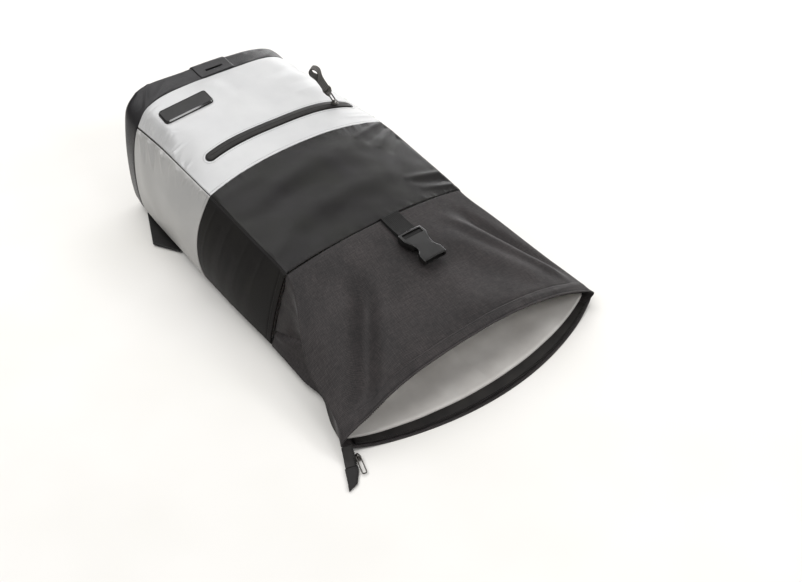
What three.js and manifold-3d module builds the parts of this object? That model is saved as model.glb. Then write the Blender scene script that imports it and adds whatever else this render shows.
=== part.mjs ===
// Roll-top laptop backpack lying on its back, with the top unrolled and the mouth open.
// Millimetres, +Z up. The mouth faces -Y, the base +Y, and the front of the bag looks up.
import * as THREE from 'three';
import { mergeVertices } from 'three/addons/utils/BufferGeometryUtils.js';
import Module from 'manifold-3d';

const wasm = await Module();
wasm.setup();

// Where the middle of the bag's footprint lies, seen from the middle of the roll-top seam
const CENTRE = { x: -13.4, y: 77.3 };

// Clearances: between two panels at a seam, and under a piece that lies on another
const SEAM_GAP = 0.4;
const LAY_GAP = 0.3;

// Wall thicknesses
const WALL = 2.4;
const BACK_PAD = 8;
const ROLL_WALL = 1.6;
const TAPE = 1.2;
const LINING = 1;

// Where the bag's bands begin and end, counted from the roll-top seam
const ROLL_SEAM = 0;
const BASE_END = 393;
const BASE_ROUNDING = 10;

// How finely each stretch of a section is stepped. The front's steps draw closer towards its seams.
const FRONT_STEPS = 20;
const FRONT_CROWDING = 0.2;
const SIDE_STEPS = 7;
const BACK_STEPS = 8;
const ROLL_BACK_STEPS = 16;
const BACK_EDGE_POWER = 8;

// Folds die away over this share of the half width at the sheet's edges, and this far from its seam
const FOLD_EDGE_FADE = 0.17;
const FOLD_SEAM_FADE = 30;

const table = (columns, rows) =>
  rows.map((row) => Object.fromEntries(columns.map((name, i) => [name, row[i]])));

// Cross sections from the mouth to the base. The front is a crown between its two seam corners,
// each side a curve pulled towards (sideX, sideZ), and the back a flat sheet that bows out at the lip.
// The right seam lies lower than the left one by the drop.
const SECTIONS = table(
  [
    'y', 'halfFront', 'seamZ', 'crown', 'power', 'halfBack',
    'backZ', 'backMidZ', 'sideX', 'sideZ', 'bow', 'drop',
  ],
  [
    [-190, 203, 20, 46, 2.4, 203, 9, 0.4, 213, 14, 48, 0],
    [-160, 193, 35, 41, 2.4, 195, 8, 1.0, 190, 20, 28, 0],
    [-125, 181.5, 50, 34, 2.4, 184, 8, 3.2, 166, 28, 12, 0],
    [-60, 160, 80, 23, 2.3, 175, 10, 8.2, 138, 42, 0, 0],
    [0, 140, 108, 12, 2.3, 170, 12, 12, 163, 56, 0, 0],
    [80, 140, 123, 17, 2.3, 166, 12, 12, 176, 66, 0, 0],
    [163, 139.5, 136, 22, 2.3, 160, 12, 12, 184, 76, 0, 0],
    [230, 136.5, 139.5, 28, 3.6, 154, 12, 12, 176, 77, 0, 0],
    [300, 133, 142, 34, 5.6, 148, 12, 12, 166, 79, 0, 0],
    [356, 131.8, 142, 36.5, 6.3, 142, 12, 12, 156, 80, 0, 2],
    [393, 132, 163, 21.5, 10, 137.5, 12, 12, 145, 76, 0, 16],
  ],
);

// Soft folds of the unrolled front sheet, each a ridge or a valley along a straight line
const FOLDS = table(
  ['x0', 'y0', 'x1', 'y1', 'height', 'width'],
  [
    [-96, -34, -168, -168, -6, 15],
    [-60, -20, -118, -150, 4, 26],
    [76, -58, 172, -176, 5, 10],
    [104, -44, 182, -148, -5, 14],
    [20, -96, 24, -172, 3, 34],
  ],
);

// Rows of section planes that each band of panels is built through
const ROLL_ROWS = [-190, -182, -172, -158, -142, -124, -104, -82, -60, -40, -20, 0];
const BODY_ROWS = [0, 40, 80, 122, 163];
const POCKET_ROWS = [163, 196, 230, 265, 300, 330, 356];
const BASE_ROWS = [356, 368];
const BASE_ROUND_STEPS = 3;
const BASE_CAP_Z = 95;

// A curve through one column of a table that never overshoots between two rows
function monotone(rows, column) {
  const at = rows.map((row) => row.y);
  const value = rows.map((row) => row[column]);
  const slope = (i) => (value[i + 1] - value[i]) / (at[i + 1] - at[i]);
  const tangent = value.map((_, i) => {
    if (i === 0) return slope(0);
    if (i === value.length - 1) return slope(i - 1);
    const before = slope(i - 1);
    const after = slope(i);
    return before * after <= 0 ? 0 : (2 * before * after) / (before + after);
  });
  return (y) => {
    let i = 0;
    while (i < at.length - 2 && y > at[i + 1]) i += 1;
    const h = at[i + 1] - at[i];
    const t = (y - at[i]) / h;
    const s = 1 - t;
    return (1 + 2 * t) * s * s * value[i] + t * s * s * h * tangent[i]
      + t * t * (3 - 2 * t) * value[i + 1] - t * t * s * h * tangent[i + 1];
  };
}

const SECTION_CURVES = Object.fromEntries(
  Object.keys(SECTIONS[0]).filter((name) => name !== 'y').map((name) => [name, monotone(SECTIONS, name)]),
);
const sectionAt = (y) =>
  Object.fromEntries(Object.entries(SECTION_CURVES).map(([name, curve]) => [name, curve(y)]));

// The sum of the folds at a point of the front sheet
function foldHeight(x, y) {
  return FOLDS.reduce((sum, fold) => {
    const along = new THREE.Vector2(fold.x1 - fold.x0, fold.y1 - fold.y0);
    const from = new THREE.Vector2(x - fold.x0, y - fold.y0);
    const t = THREE.MathUtils.clamp(from.dot(along) / along.lengthSq(), 0, 1);
    const away = from.sub(along.multiplyScalar(t)).length() / fold.width;
    return sum + fold.height * Math.exp(-away * away);
  }, 0);
}

// Height of the front face above the floor
function frontZ(x, y, section = sectionAt(y)) {
  const t = Math.min(1, Math.abs(x) / section.halfFront);
  const lowered = x > 0 ? section.drop * t * t : 0;
  const flat = section.seamZ + section.crown * (1 - t ** section.power) - lowered;
  if (y >= ROLL_SEAM) return flat;
  const edgeFade = Math.min(1, (1 - t) / FOLD_EDGE_FADE);
  const seamFade = Math.min(1, (ROLL_SEAM - y) / FOLD_SEAM_FADE);
  return flat + edgeFade * seamFade * foldHeight(x, y);
}

// One closed section: front from left to right, right side down, back to the left, left side up
function loopAt(y, backSteps = BACK_STEPS) {
  const s = sectionAt(y);
  const points = [];
  const sidePoint = (t, seamZ) => {
    const u = 1 - t;
    const x = u * u * s.halfFront + 2 * u * t * s.sideX + t * t * s.halfBack;
    const z = u * u * seamZ + 2 * u * t * s.sideZ + t * t * s.backZ;
    return [x, z];
  };
  for (let i = 0; i < FRONT_STEPS; i += 1) {
    const u = (2 * i) / FRONT_STEPS - 1;
    const x = s.halfFront * ((1 + FRONT_CROWDING) * u - FRONT_CROWDING * u ** 3);
    points.push(new THREE.Vector3(x, y, frontZ(x, y, s)));
  }
  for (let i = 0; i < SIDE_STEPS; i += 1) {
    const [x, z] = sidePoint(i / SIDE_STEPS, s.seamZ - s.drop);
    points.push(new THREE.Vector3(x, y, z));
  }
  for (let i = 0; i < backSteps; i += 1) {
    const t = 1 - (2 * i) / backSteps;
    const rise = Math.abs(t) ** BACK_EDGE_POWER;
    const z = s.backMidZ + (s.backZ - s.backMidZ) * rise;
    points.push(new THREE.Vector3(s.halfBack * t, y - s.bow * (1 - t * t), z));
  }
  for (let i = 0; i < SIDE_STEPS; i += 1) {
    const [x, z] = sidePoint(1 - i / SIDE_STEPS, s.seamZ);
    points.push(new THREE.Vector3(-x, y, z));
  }
  return points;
}

const NEARLY_STRAIGHT = 0.98;

// The same section moved inwards, with its corners mitred, by one depth for each of its stretches
function inset(loop, depthOf) {
  const count = loop.length;
  const inward = loop.map((p, i) => {
    const q = loop[(i + 1) % count];
    return new THREE.Vector2(q.z - p.z, p.x - q.x).normalize();
  });
  return loop.map((p, i) => {
    const before = (i + count - 1) % count;
    const [n1, n2] = [inward[before], inward[i]];
    const [d1, d2] = [depthOf(before), depthOf(i)];
    const cosine = n1.dot(n2);
    const nearlyStraight = cosine > NEARLY_STRAIGHT;
    const spread = 1 - cosine * cosine;
    const a = nearlyStraight ? d1 / 2 : (d1 - cosine * d2) / spread;
    const b = nearlyStraight ? d2 / 2 : (d2 - cosine * d1) / spread;
    return new THREE.Vector3(p.x + a * n1.x + b * n2.x, p.y, p.z + a * n1.y + b * n2.y);
  });
}

// A geometry from points and triangles, turned so that its faces point out
function solidFrom(points, triangles) {
  const volume = triangles.reduce((sum, [a, b, c]) =>
    sum + points[a].dot(new THREE.Vector3().crossVectors(points[b], points[c])), 0);
  const faces = volume < 0 ? triangles.map(([a, b, c]) => [a, c, b]) : triangles;
  const geometry = new THREE.BufferGeometry();
  const numbers = points.flatMap((p) => [p.x, p.y, p.z]);
  geometry.setAttribute('position', new THREE.Float32BufferAttribute(numbers, 3));
  geometry.setIndex(faces.flat());
  return geometry;
}

// A wall between two grids of points. Rows may run round in a ring, and the last row may close on a point.
function wall(outer, inner, { ring = false, outerCap = null, innerCap = null } = {}) {
  const rows = outer.length;
  const columns = outer[0].length;
  const points = [...outer.flat(), ...inner.flat()];
  const half = rows * columns;
  const triangles = [];
  const quad = (a, b, c, d) => triangles.push([a, b, c], [a, c, d]);
  const id = (row, column, side) => side * half + row * columns + (column % columns);
  const spans = ring ? columns : columns - 1;
  for (let r = 0; r < rows - 1; r += 1) {
    for (let c = 0; c < spans; c += 1) {
      quad(id(r, c, 0), id(r, c + 1, 0), id(r + 1, c + 1, 0), id(r + 1, c, 0));
      quad(id(r, c, 1), id(r + 1, c, 1), id(r + 1, c + 1, 1), id(r, c + 1, 1));
    }
    if (!ring) {
      quad(id(r + 1, 0, 0), id(r + 1, 0, 1), id(r, 0, 1), id(r, 0, 0));
      quad(id(r, columns - 1, 1), id(r + 1, columns - 1, 1), id(r + 1, columns - 1, 0), id(r, columns - 1, 0));
    }
  }
  const last = rows - 1;
  for (let c = 0; c < spans; c += 1) {
    quad(id(0, c, 1), id(0, c + 1, 1), id(0, c + 1, 0), id(0, c, 0));
    if (outerCap) {
      triangles.push([id(last, c, 0), id(last, c + 1, 0), points.length]);
      triangles.push([id(last, c + 1, 1), id(last, c, 1), points.length + 1]);
    } else {
      quad(id(last, c, 0), id(last, c + 1, 0), id(last, c + 1, 1), id(last, c, 1));
    }
  }
  if (outerCap) points.push(outerCap, innerCap);
  return solidFrom(points, triangles);
}

// A solid through a row of convex sections, closed by a flat fan at each end
function loft(sections) {
  const columns = sections[0].length;
  const points = sections.flat();
  const triangles = [];
  const id = (row, column) => row * columns + (column % columns);
  for (let r = 0; r < sections.length - 1; r += 1) {
    for (let c = 0; c < columns; c += 1) {
      triangles.push([id(r, c), id(r, c + 1), id(r + 1, c + 1)], [id(r, c), id(r + 1, c + 1), id(r + 1, c)]);
    }
  }
  const last = sections.length - 1;
  for (let c = 1; c < columns - 1; c += 1) {
    triangles.push([id(0, 0), id(0, c + 1), id(0, c)], [id(last, 0), id(last, c), id(last, c + 1)]);
  }
  return solidFrom(points, triangles);
}

// Boolean joins and cuts
function manifoldOf(geometry) {
  const bare = new THREE.BufferGeometry();
  bare.setAttribute('position', geometry.getAttribute('position').clone());
  if (geometry.index) bare.setIndex(geometry.index.clone());
  const merged = mergeVertices(bare, 1e-4);
  return new wasm.Manifold(new wasm.Mesh({
    numProp: 3,
    vertProperties: merged.getAttribute('position').array,
    triVerts: new Uint32Array(merged.index.array),
  }));
}

function geometryOf(manifold) {
  const mesh = manifold.getMesh();
  const geometry = new THREE.BufferGeometry();
  geometry.setAttribute('position', new THREE.BufferAttribute(mesh.vertProperties, 3));
  geometry.setIndex(new THREE.BufferAttribute(mesh.triVerts, 1));
  return geometry;
}

const join = (first, ...others) =>
  geometryOf(others.reduce((whole, next) => whole.add(manifoldOf(next)), manifoldOf(first)));
const cut = (first, ...others) =>
  geometryOf(others.reduce((whole, next) => whole.subtract(manifoldOf(next)), manifoldOf(first)));
const block = (x0, x1, y0, y1, z0, z1) =>
  new THREE.BoxGeometry(x1 - x0, y1 - y0, z1 - z0).translate((x0 + x1) / 2, (y0 + y1) / 2, (z0 + z1) / 2);

// Finishes
const finish = (color, roughness, metalness = 0) => () =>
  new THREE.MeshStandardMaterial({ color, roughness, metalness });
const silverCoated = finish('#d9dbde', 0.42, 0.2);
const blackNylon = finish('#3b3a38', 0.55);
const rollWeave = finish('#3a3836', 0.8);
const baseNylon = finish('#454346', 0.5);
const backMesh = finish('#262524', 0.9);
const paleLining = finish('#a9a6a2', 0.6);
const webbingWeave = finish('#2a2928', 0.85);
const coatedTape = finish('#2e2d2c', 0.5);
const mouldedPlastic = finish('#3a3936', 0.35);
const softRubber = finish('#34322f', 0.5);
const darkMetal = finish('#55534f', 0.3, 0.8);

const bag = new THREE.Group();
bag.position.set(-CENTRE.x, -CENTRE.y, 0);

function add(name, geometry, material, parent = bag) {
  const mesh = new THREE.Mesh(geometry, material());
  mesh.name = name;
  parent.add(mesh);
  return mesh;
}

// Panels of the body: stretches of the section loops, cut back a little at every seam
const STRETCH = {
  front: [0, FRONT_STEPS],
  sideRight: [FRONT_STEPS, FRONT_STEPS + SIDE_STEPS],
  back: [FRONT_STEPS + SIDE_STEPS, FRONT_STEPS + SIDE_STEPS + BACK_STEPS],
  sideLeft: [FRONT_STEPS + SIDE_STEPS + BACK_STEPS, FRONT_STEPS + 2 * SIDE_STEPS + BACK_STEPS],
};
const bodyDepth = (i) => (i >= STRETCH.back[0] && i < STRETCH.back[1] ? BACK_PAD : WALL);

function trimmedRows(rows) {
  const half = SEAM_GAP / 2;
  return rows.map((y, i) => y + (i === 0 ? half : 0) - (i === rows.length - 1 ? half : 0));
}

function stretchOf(loop, [from, to]) {
  const points = [];
  for (let i = from; i <= to; i += 1) points.push(loop[i % loop.length].clone());
  const last = points.length - 1;
  const shorten = (end, next) => points[end].add(
    points[next].clone().sub(points[end]).setLength(SEAM_GAP / 2));
  shorten(0, 1);
  shorten(last, last - 1);
  return points;
}

function panel(rows, stretch) {
  const loops = trimmedRows(rows).map((y) => loopAt(y));
  const outer = loops.map((loop) => stretchOf(loop, stretch));
  const inner = loops.map((loop) => stretchOf(inset(loop, bodyDepth), stretch));
  return wall(outer, inner);
}

function basePanel() {
  const straight = trimmedRows([...BASE_ROWS, BASE_END]).slice(0, BASE_ROWS.length);
  const outer = straight.map((y) => loopAt(y));
  const inner = straight.map((y) => inset(loopAt(y), () => WALL));
  const roundStart = BASE_END - BASE_ROUNDING;
  for (let i = 0; i <= BASE_ROUND_STEPS; i += 1) {
    const angle = (i / BASE_ROUND_STEPS) * (Math.PI / 2);
    const ringAt = (radius) => {
      const y = roundStart + radius * Math.sin(angle);
      return inset(loopAt(y), () => BASE_ROUNDING - radius * Math.cos(angle));
    };
    outer.push(ringAt(BASE_ROUNDING));
    inner.push(ringAt(BASE_ROUNDING - WALL));
  }
  return wall(outer, inner, {
    ring: true,
    outerCap: new THREE.Vector3(0, BASE_END, BASE_CAP_Z),
    innerCap: new THREE.Vector3(0, BASE_END - WALL, BASE_CAP_Z),
  });
}

add('base_panel', basePanel(), baseNylon);
add('pocket_front', panel(POCKET_ROWS, STRETCH.front), silverCoated);
add('pocket_side_left', panel(POCKET_ROWS, STRETCH.sideLeft), silverCoated);
add('pocket_side_right', panel(POCKET_ROWS, STRETCH.sideRight), silverCoated);
add('body_front', panel(BODY_ROWS, STRETCH.front), blackNylon);
add('body_side_left', panel(BODY_ROWS, STRETCH.sideLeft), blackNylon);
add('body_side_right', panel(BODY_ROWS, STRETCH.sideRight), blackNylon);
add('back_panel', panel([...BODY_ROWS, ...POCKET_ROWS.slice(1)], STRETCH.back), backMesh);

// Unrolled top: one tube of cloth with tucked sides
const rollLoops = trimmedRows(ROLL_ROWS).map((y) => loopAt(y, ROLL_BACK_STEPS));
const rollInset = (loop, depth) => inset(loop, () => depth);
const rollInner = rollLoops.map((loop) => rollInset(loop, ROLL_WALL));
add('roll_top', wall(rollLoops, rollInner, { ring: true }), rollWeave);

// Zip tapes inside the two lips, stopped short of the mouth's corners, and the lining beyond them
const ZIP_TAPE_ROWS = 3;
const skinDepth = ROLL_WALL + LAY_GAP;

function lipTape([from, to]) {
  const loops = rollLoops.slice(0, ZIP_TAPE_ROWS);
  const outer = loops.map((loop) => rollInset(loop, skinDepth).slice(from, to + 1));
  const inner = loops.map((loop) => rollInset(loop, skinDepth + TAPE).slice(from, to + 1));
  return wall(outer, inner);
}

function rollLining() {
  const loops = trimmedRows(ROLL_ROWS.slice(ZIP_TAPE_ROWS - 1)).map((y) => loopAt(y, ROLL_BACK_STEPS));
  const outer = loops.map((loop) => rollInset(loop, skinDepth));
  const inner = loops.map((loop) => rollInset(loop, skinDepth + LINING));
  return wall(outer, inner, { ring: true });
}

const rollBackStart = FRONT_STEPS + SIDE_STEPS;
add('mouth_zip_front_tape', lipTape([1, FRONT_STEPS - 1]), coatedTape);
add('mouth_zip_back_tape', lipTape([rollBackStart + 1, rollBackStart + ROLL_BACK_STEPS - 1]), coatedTape);
add('roll_lining', rollLining(), paleLining);

// A flat piece with round corners that follows the front face
function patch({ x, y, length, width, corner, turn = 0, lift, thickness, steps = 8 }) {
  const columns = [];
  const cornerSteps = 3;
  for (let i = 0; i <= cornerSteps; i += 1) {
    const angle = (i / cornerSteps) * (Math.PI / 2);
    columns.push({
      u: -length / 2 + corner * (1 - Math.sin(angle)),
      half: width / 2 - corner * (1 - Math.cos(angle)),
    });
  }
  columns.reverse();
  const middle = length - 2 * corner;
  for (let i = 1; i < steps; i += 1) {
    columns.push({ u: -length / 2 + corner + (middle * i) / steps, half: width / 2 });
  }
  columns.push(...columns.slice(0, cornerSteps + 1).reverse().map(({ u, half }) => ({ u: -u, half })));
  const rows = [-1, -1 / 3, 1 / 3, 1];
  const gridAt = (height) => rows.map((v) => columns.map(({ u, half }) => {
    const place = new THREE.Vector2(u, v * half).rotateAround(new THREE.Vector2(), turn);
    const px = x + place.x;
    const py = y + place.y;
    return new THREE.Vector3(px, py, frontZ(px, py) + height);
  }));
  return wall(gridAt(lift + thickness), gridAt(lift));
}

const PATCH_LIFT = 0.5;
const BADGE = {
  x: -77, y: 315, length: 69, width: 27, corner: 5, turn: -0.1, lift: PATCH_LIFT, thickness: 3,
};
const ZIP = {
  x: 8.8, y: 213, length: 237.6, width: 15, corner: 7, lift: PATCH_LIFT, thickness: 1.4, steps: 24,
};
const TAB = { x: 5, y: 369.5, length: 55, width: 24, corner: 1, lift: PATCH_LIFT, thickness: 1 };
const TAB_SLOT = { length: 30, width: 3 };

add('badge_plate', patch(BADGE), softRubber);
add('pocket_zip', patch(ZIP), coatedTape);
add('base_light_tab', cut(patch(TAB), block(
  TAB.x - TAB_SLOT.length / 2, TAB.x + TAB_SLOT.length / 2,
  TAB.y - TAB_SLOT.width / 2, TAB.y + TAB_SLOT.width / 2, 0, BASE_END,
)), webbingWeave);

// Zip sliders: a plate with a bridge, whose eye takes the pull's bar. Local X runs along the zip.
const SLIDER = { plate: 1.8, bridgeWidth: 2.4, eyeHeight: 3, beam: 1.2, post: 1.5 };
const EYE_Z = SLIDER.plate + SLIDER.eyeHeight / 2;

function slider({ length, width, eyeLength }) {
  const { plate, bridgeWidth, eyeHeight, beam, post } = SLIDER;
  const outline = new THREE.Shape();
  const nose = width * 0.3;
  outline.moveTo(-length / 2, -nose).lineTo(-length / 4, -width / 2).lineTo(length / 2, -width / 2);
  outline.lineTo(length / 2, width / 2).lineTo(-length / 4, width / 2).lineTo(-length / 2, nose).closePath();
  const base = new THREE.ExtrudeGeometry(outline, { depth: plate, bevelEnabled: false });
  const top = plate + eyeHeight + beam;
  const reach = eyeLength / 2 + post;
  const bridge = block(-reach, reach, -bridgeWidth / 2, bridgeWidth / 2, plate / 2, top);
  const eye = block(-eyeLength / 2, eyeLength / 2, -width, width, plate, plate + eyeHeight);
  return cut(join(base, bridge), eye);
}

// A flat frame of bar with one long opening, drawn from the bar's axis upwards
function pullFrame({ bar, inside, reach, round }) {
  const rectangle = (path, half, low, high, r) => {
    path.moveTo(-half + r, low).lineTo(half - r, low).quadraticCurveTo(half, low, half, low + r);
    path.lineTo(half, high - r).quadraticCurveTo(half, high, half - r, high).lineTo(-half + r, high);
    path.quadraticCurveTo(-half, high, -half, high - r).lineTo(-half, low + r);
    path.quadraticCurveTo(-half, low, -half + r, low);
    return path;
  };
  const shape = rectangle(new THREE.Shape(), inside / 2 + bar, -bar / 2, reach + bar / 2, round);
  shape.holes.push(rectangle(new THREE.Path(), inside / 2, bar / 2, reach - bar / 2, round * 0.5));
  return new THREE.ExtrudeGeometry(shape, { depth: bar, bevelEnabled: false, curveSegments: 3 })
    .translate(0, 0, -bar / 2);
}

// Pocket zip's slider and its pull. The pull's bar lies askew in the eye, and the pull leans up and away.
const POCKET_SLIDER = { x: 97, length: 11, width: 8, eyeLength: 5.8 };
const POCKET_TURN = THREE.MathUtils.degToRad(41);
const POCKET_LEAN = THREE.MathUtils.degToRad(49);
const POCKET_CLIP = { bar: 1.6, inside: 10.8, reach: 14, round: 1 };
const LOOP_WIDTH = 10;
const LOOP_OUTLINE = table(['along', 'half'], [
  [11.6, 0.8], [13, 2.4], [15, 2.5], [18, 2.1], [22, 1.8], [30, 2.4], [40, 4], [48, 4.9], [55, 4], [58, 1.4],
]);
const LOOP_OPENING = table(['along', 'half'], [[36, 0.3], [41, 1.9], [48, 3], [54, 2.2], [55.8, 0.7]]);
const LOOP_EYE = 1.3;

// Axes that lie on the front face at a point: along X, across it, and out of the face
function faceAxes(x, y) {
  const reach = 4;
  const alongX = new THREE.Vector3(2 * reach, 0, frontZ(x + reach, y) - frontZ(x - reach, y)).normalize();
  const alongY = new THREE.Vector3(0, 2 * reach, frontZ(x, y + reach) - frontZ(x, y - reach)).normalize();
  const out = alongX.clone().cross(alongY).normalize();
  return { along: alongX, across: out.clone().cross(alongX), out };
}

const pocketFace = faceAxes(POCKET_SLIDER.x, ZIP.y);
const pocketSlider = new THREE.Group();
pocketSlider.setRotationFromMatrix(
  new THREE.Matrix4().makeBasis(pocketFace.along, pocketFace.across, pocketFace.out));
pocketSlider.position.set(POCKET_SLIDER.x, ZIP.y, frontZ(POCKET_SLIDER.x, ZIP.y))
  .addScaledVector(pocketFace.out, ZIP.lift + ZIP.thickness + LAY_GAP);
bag.add(pocketSlider);
add('pocket_zip_slider', slider(POCKET_SLIDER), darkMetal, pocketSlider);

// The pull's own frame: origin on the bar's axis, local X along the bar, local Y along the pull
const pocketBar = pocketFace.across.clone().applyAxisAngle(pocketFace.out, -POCKET_TURN);
const pullAlong = pocketFace.out.clone().applyAxisAngle(pocketBar, -POCKET_LEAN);
const pocketPull = new THREE.Group();
pocketPull.position.copy(pocketSlider.position).addScaledVector(pocketFace.out, EYE_Z);
pocketPull.setRotationFromMatrix(new THREE.Matrix4().makeBasis(
  pocketBar, pullAlong, pocketBar.clone().cross(pullAlong)));
bag.add(pocketPull);
add('pocket_pull_clip', pullFrame(POCKET_CLIP), darkMetal, pocketPull);

function mirroredOutline(path, rows) {
  path.setFromPoints([
    ...rows.map(({ along, half }) => new THREE.Vector2(half, along)),
    ...rows.slice().reverse().map(({ along, half }) => new THREE.Vector2(-half, along)),
  ]);
  return path;
}

function pullLoop() {
  const shape = mirroredOutline(new THREE.Shape(), LOOP_OUTLINE);
  shape.holes.push(mirroredOutline(new THREE.Path(), LOOP_OPENING));
  shape.holes.push(new THREE.Path().absarc(0, POCKET_CLIP.reach, LOOP_EYE, 0, 2 * Math.PI));
  return new THREE.ExtrudeGeometry(shape, { depth: LOOP_WIDTH, bevelEnabled: false, curveSegments: 8 })
    .translate(0, 0, -LOOP_WIDTH / 2)
    .rotateY(Math.PI / 2);
}

add('pocket_pull_loop', pullLoop(), webbingWeave, pocketPull);

// A band of even thickness along a path, with its width along one fixed direction
function ribbon(path, across, width, thickness) {
  const side = across.clone().normalize();
  return loft(path.map((point, i) => {
    const before = path[Math.max(0, i - 1)];
    const after = path[Math.min(path.length - 1, i + 1)];
    const normal = after.clone().sub(before).cross(side).normalize();
    const corner = (s, n) => point.clone().addScaledVector(side, (s * width) / 2)
      .addScaledVector(normal, (n * thickness) / 2);
    return [corner(-1, -1), corner(1, -1), corner(1, 1), corner(-1, 1)];
  }));
}

// Closure buckle: a side-release socket on a short loop of webbing. Local -Y points at the mouth.
const BUCKLE = { x: 19, y: -40, tilt: THREE.MathUtils.degToRad(9), height: 9.6 };
const BUCKLE_OUTLINE = table(['along', 'half'], [
  [-2.5, 17], [-1, 18], [6, 18.4], [11, 17.8], [17, 15.4], [23, 12.8], [28, 12.2],
  [33, 13.6], [36.5, 16.4], [41, 17.4], [49.5, 17.4],
]);
const REAR_BAR = { to: 2, low: 5.4 };
const BUCKLE_SLOT = { to: 8.6, half: 14.5 };
const WEB_CHAMBER = { to: 16, high: 7.3 };
const WEB_BAR = { from: 9, to: 12.4, low: 1.3, high: 4.4, half: 15 };
const BUCKLE_MOUTH = { from: 24, half: 14.6, low: 1.9, high: 7.6 };
const CUT_PAST = 12;
const WEBBING = { width: 28, thickness: 1.4, lift: 0.6 };
const BUCKLE_RISE = 2.1;
const WEB_PATH = table(['along', 'z'], [
  [-3, 3.2], [2, 3.4], [6, 4.8], [9, 6], [11.6, 6.05], [13.5, 5], [14.1, 3], [13.5, 0.9],
  [11.4, -0.2], [8, -0.2], [1, -0.2],
]);

function buckleSocket() {
  const outline = mirroredOutline(
    new THREE.Shape(), BUCKLE_OUTLINE.map(({ along, half }) => ({ along: -along, half })));
  const body = new THREE.ExtrudeGeometry(outline, { depth: BUCKLE.height, bevelEnabled: false });
  const { half } = BUCKLE_SLOT;
  const top = BUCKLE.height + 1;
  const slot = block(-half, half, -BUCKLE_SLOT.to, -REAR_BAR.to, -1, top);
  const chamber = block(-half, half, -WEB_CHAMBER.to, -REAR_BAR.to, -1, WEB_CHAMBER.high);
  const underRear = block(-half, half, -REAR_BAR.to - 1, CUT_PAST, -1, REAR_BAR.low);
  const mouth = block(
    -BUCKLE_MOUTH.half, BUCKLE_MOUTH.half, -BUCKLE_MOUTH.from - 3 * CUT_PAST, -BUCKLE_MOUTH.from,
    BUCKLE_MOUTH.low, BUCKLE_MOUTH.high);
  const webBar = block(-WEB_BAR.half, WEB_BAR.half, -WEB_BAR.to, -WEB_BAR.from, WEB_BAR.low, WEB_BAR.high);
  return join(cut(body, slot, chamber, underRear, mouth), webBar);
}

const buckle = new THREE.Group();
buckle.position.set(BUCKLE.x, BUCKLE.y, frontZ(BUCKLE.x, BUCKLE.y) + BUCKLE_RISE);
buckle.rotation.x = BUCKLE.tilt;
bag.add(buckle);
add('buckle_socket', buckleSocket(), mouldedPlastic, buckle);

// The webbing leaves the roll-top seam, passes under the rear bar, wraps the inner bar and comes back below
function closureWebbing() {
  const onBuckle = ({ along, z }) =>
    new THREE.Vector3(0, -along, z).applyEuler(buckle.rotation).add(buckle.position);
  const layer = WEBBING.thickness + LAY_GAP;
  const onSheet = (y, layers) => new THREE.Vector3(
    BUCKLE.x, y, frontZ(BUCKLE.x, y) + WEBBING.lift + WEBBING.thickness / 2 + layers * layer);
  const path = [
    onSheet(ROLL_SEAM - 1, 1), onSheet(-8, 1), onSheet(-18, 1.3),
    ...WEB_PATH.map(onBuckle),
    onSheet(-24, 0), onSheet(-14, 0), onSheet(ROLL_SEAM - 1, 0),
  ];
  return ribbon(path, new THREE.Vector3(1, 0, 0), WEBBING.width, WEBBING.thickness);
}

add('closure_webbing', closureWebbing(), webbingWeave);

// The strap that mates with the socket lies hidden under the bag, with its plug
const CLOSURE_STRAP = { width: 25, thickness: 1.6 };
const CLOSURE_STRAP_PATH = table(
  ['y', 'z'], [[60, 10.9], [22, 10.9], [0, 9], [-18, 4.6], [-34, 2], [-52, 1.5]]);
const PLUG = { from: -50, to: -80, half: 14, low: 0.4, high: 4 };

function closureStrap() {
  const path = CLOSURE_STRAP_PATH.map(({ y, z }) => new THREE.Vector3(0, y, z));
  const strap = ribbon(path, new THREE.Vector3(1, 0, 0), CLOSURE_STRAP.width, CLOSURE_STRAP.thickness);
  return join(strap, block(-PLUG.half, PLUG.half, PLUG.to, PLUG.from, PLUG.low, PLUG.high));
}

add('closure_strap', closureStrap(), webbingWeave);

// The zip's loose end, which runs out of the mouth's left corner and lies on the floor
const TAIL_COLUMNS = ['leftX', 'leftY', 'rightX', 'rightY', 'z'];
const TAIL_ROWS = table(TAIL_COLUMNS, [
  [-208.5, -190.6, -196.5, -194.4, 11.5],
  [-211.5, -197.5, -199, -201.5, 6.4],
  [-214.5, -203.5, -202, -208, 2.4],
  [-218.5, -211, -205.6, -215.5, 1.6],
]);
const END_TAB_ROWS = table(TAIL_COLUMNS, [
  [-219.8, -211.4, -205.2, -216.4, 1.2],
  [-224, -219.5, -209.4, -223.4, 0.8],
  [-234.6, -238.4, -221, -235.6, 0.6],
]);

function strip(rows, thickness) {
  const gridAt = (height) => rows.map((row) => [
    new THREE.Vector3(row.leftX, row.leftY, row.z + height),
    new THREE.Vector3(row.rightX, row.rightY, row.z + height),
  ]);
  return wall(gridAt(thickness), gridAt(0));
}

add('mouth_zip_tail', strip(TAIL_ROWS, 2.2), coatedTape);
add('mouth_zip_end_tab', strip(END_TAB_ROWS, 3), webbingWeave);

// Mouth zip's slider beside the tail, with a wire pull that lies towards the floor
const MOUTH_SLIDER = { x: -197.2, y: -206, z: 1.6, length: 10, width: 6.4, eyeLength: 3.6 };
const MOUTH_PULL = { bar: 1.5, inside: 3.6, reach: 25, round: 1.4 };
const MOUTH_HEADING = THREE.MathUtils.degToRad(-110);
const MOUTH_DROP = THREE.MathUtils.degToRad(5);

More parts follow.
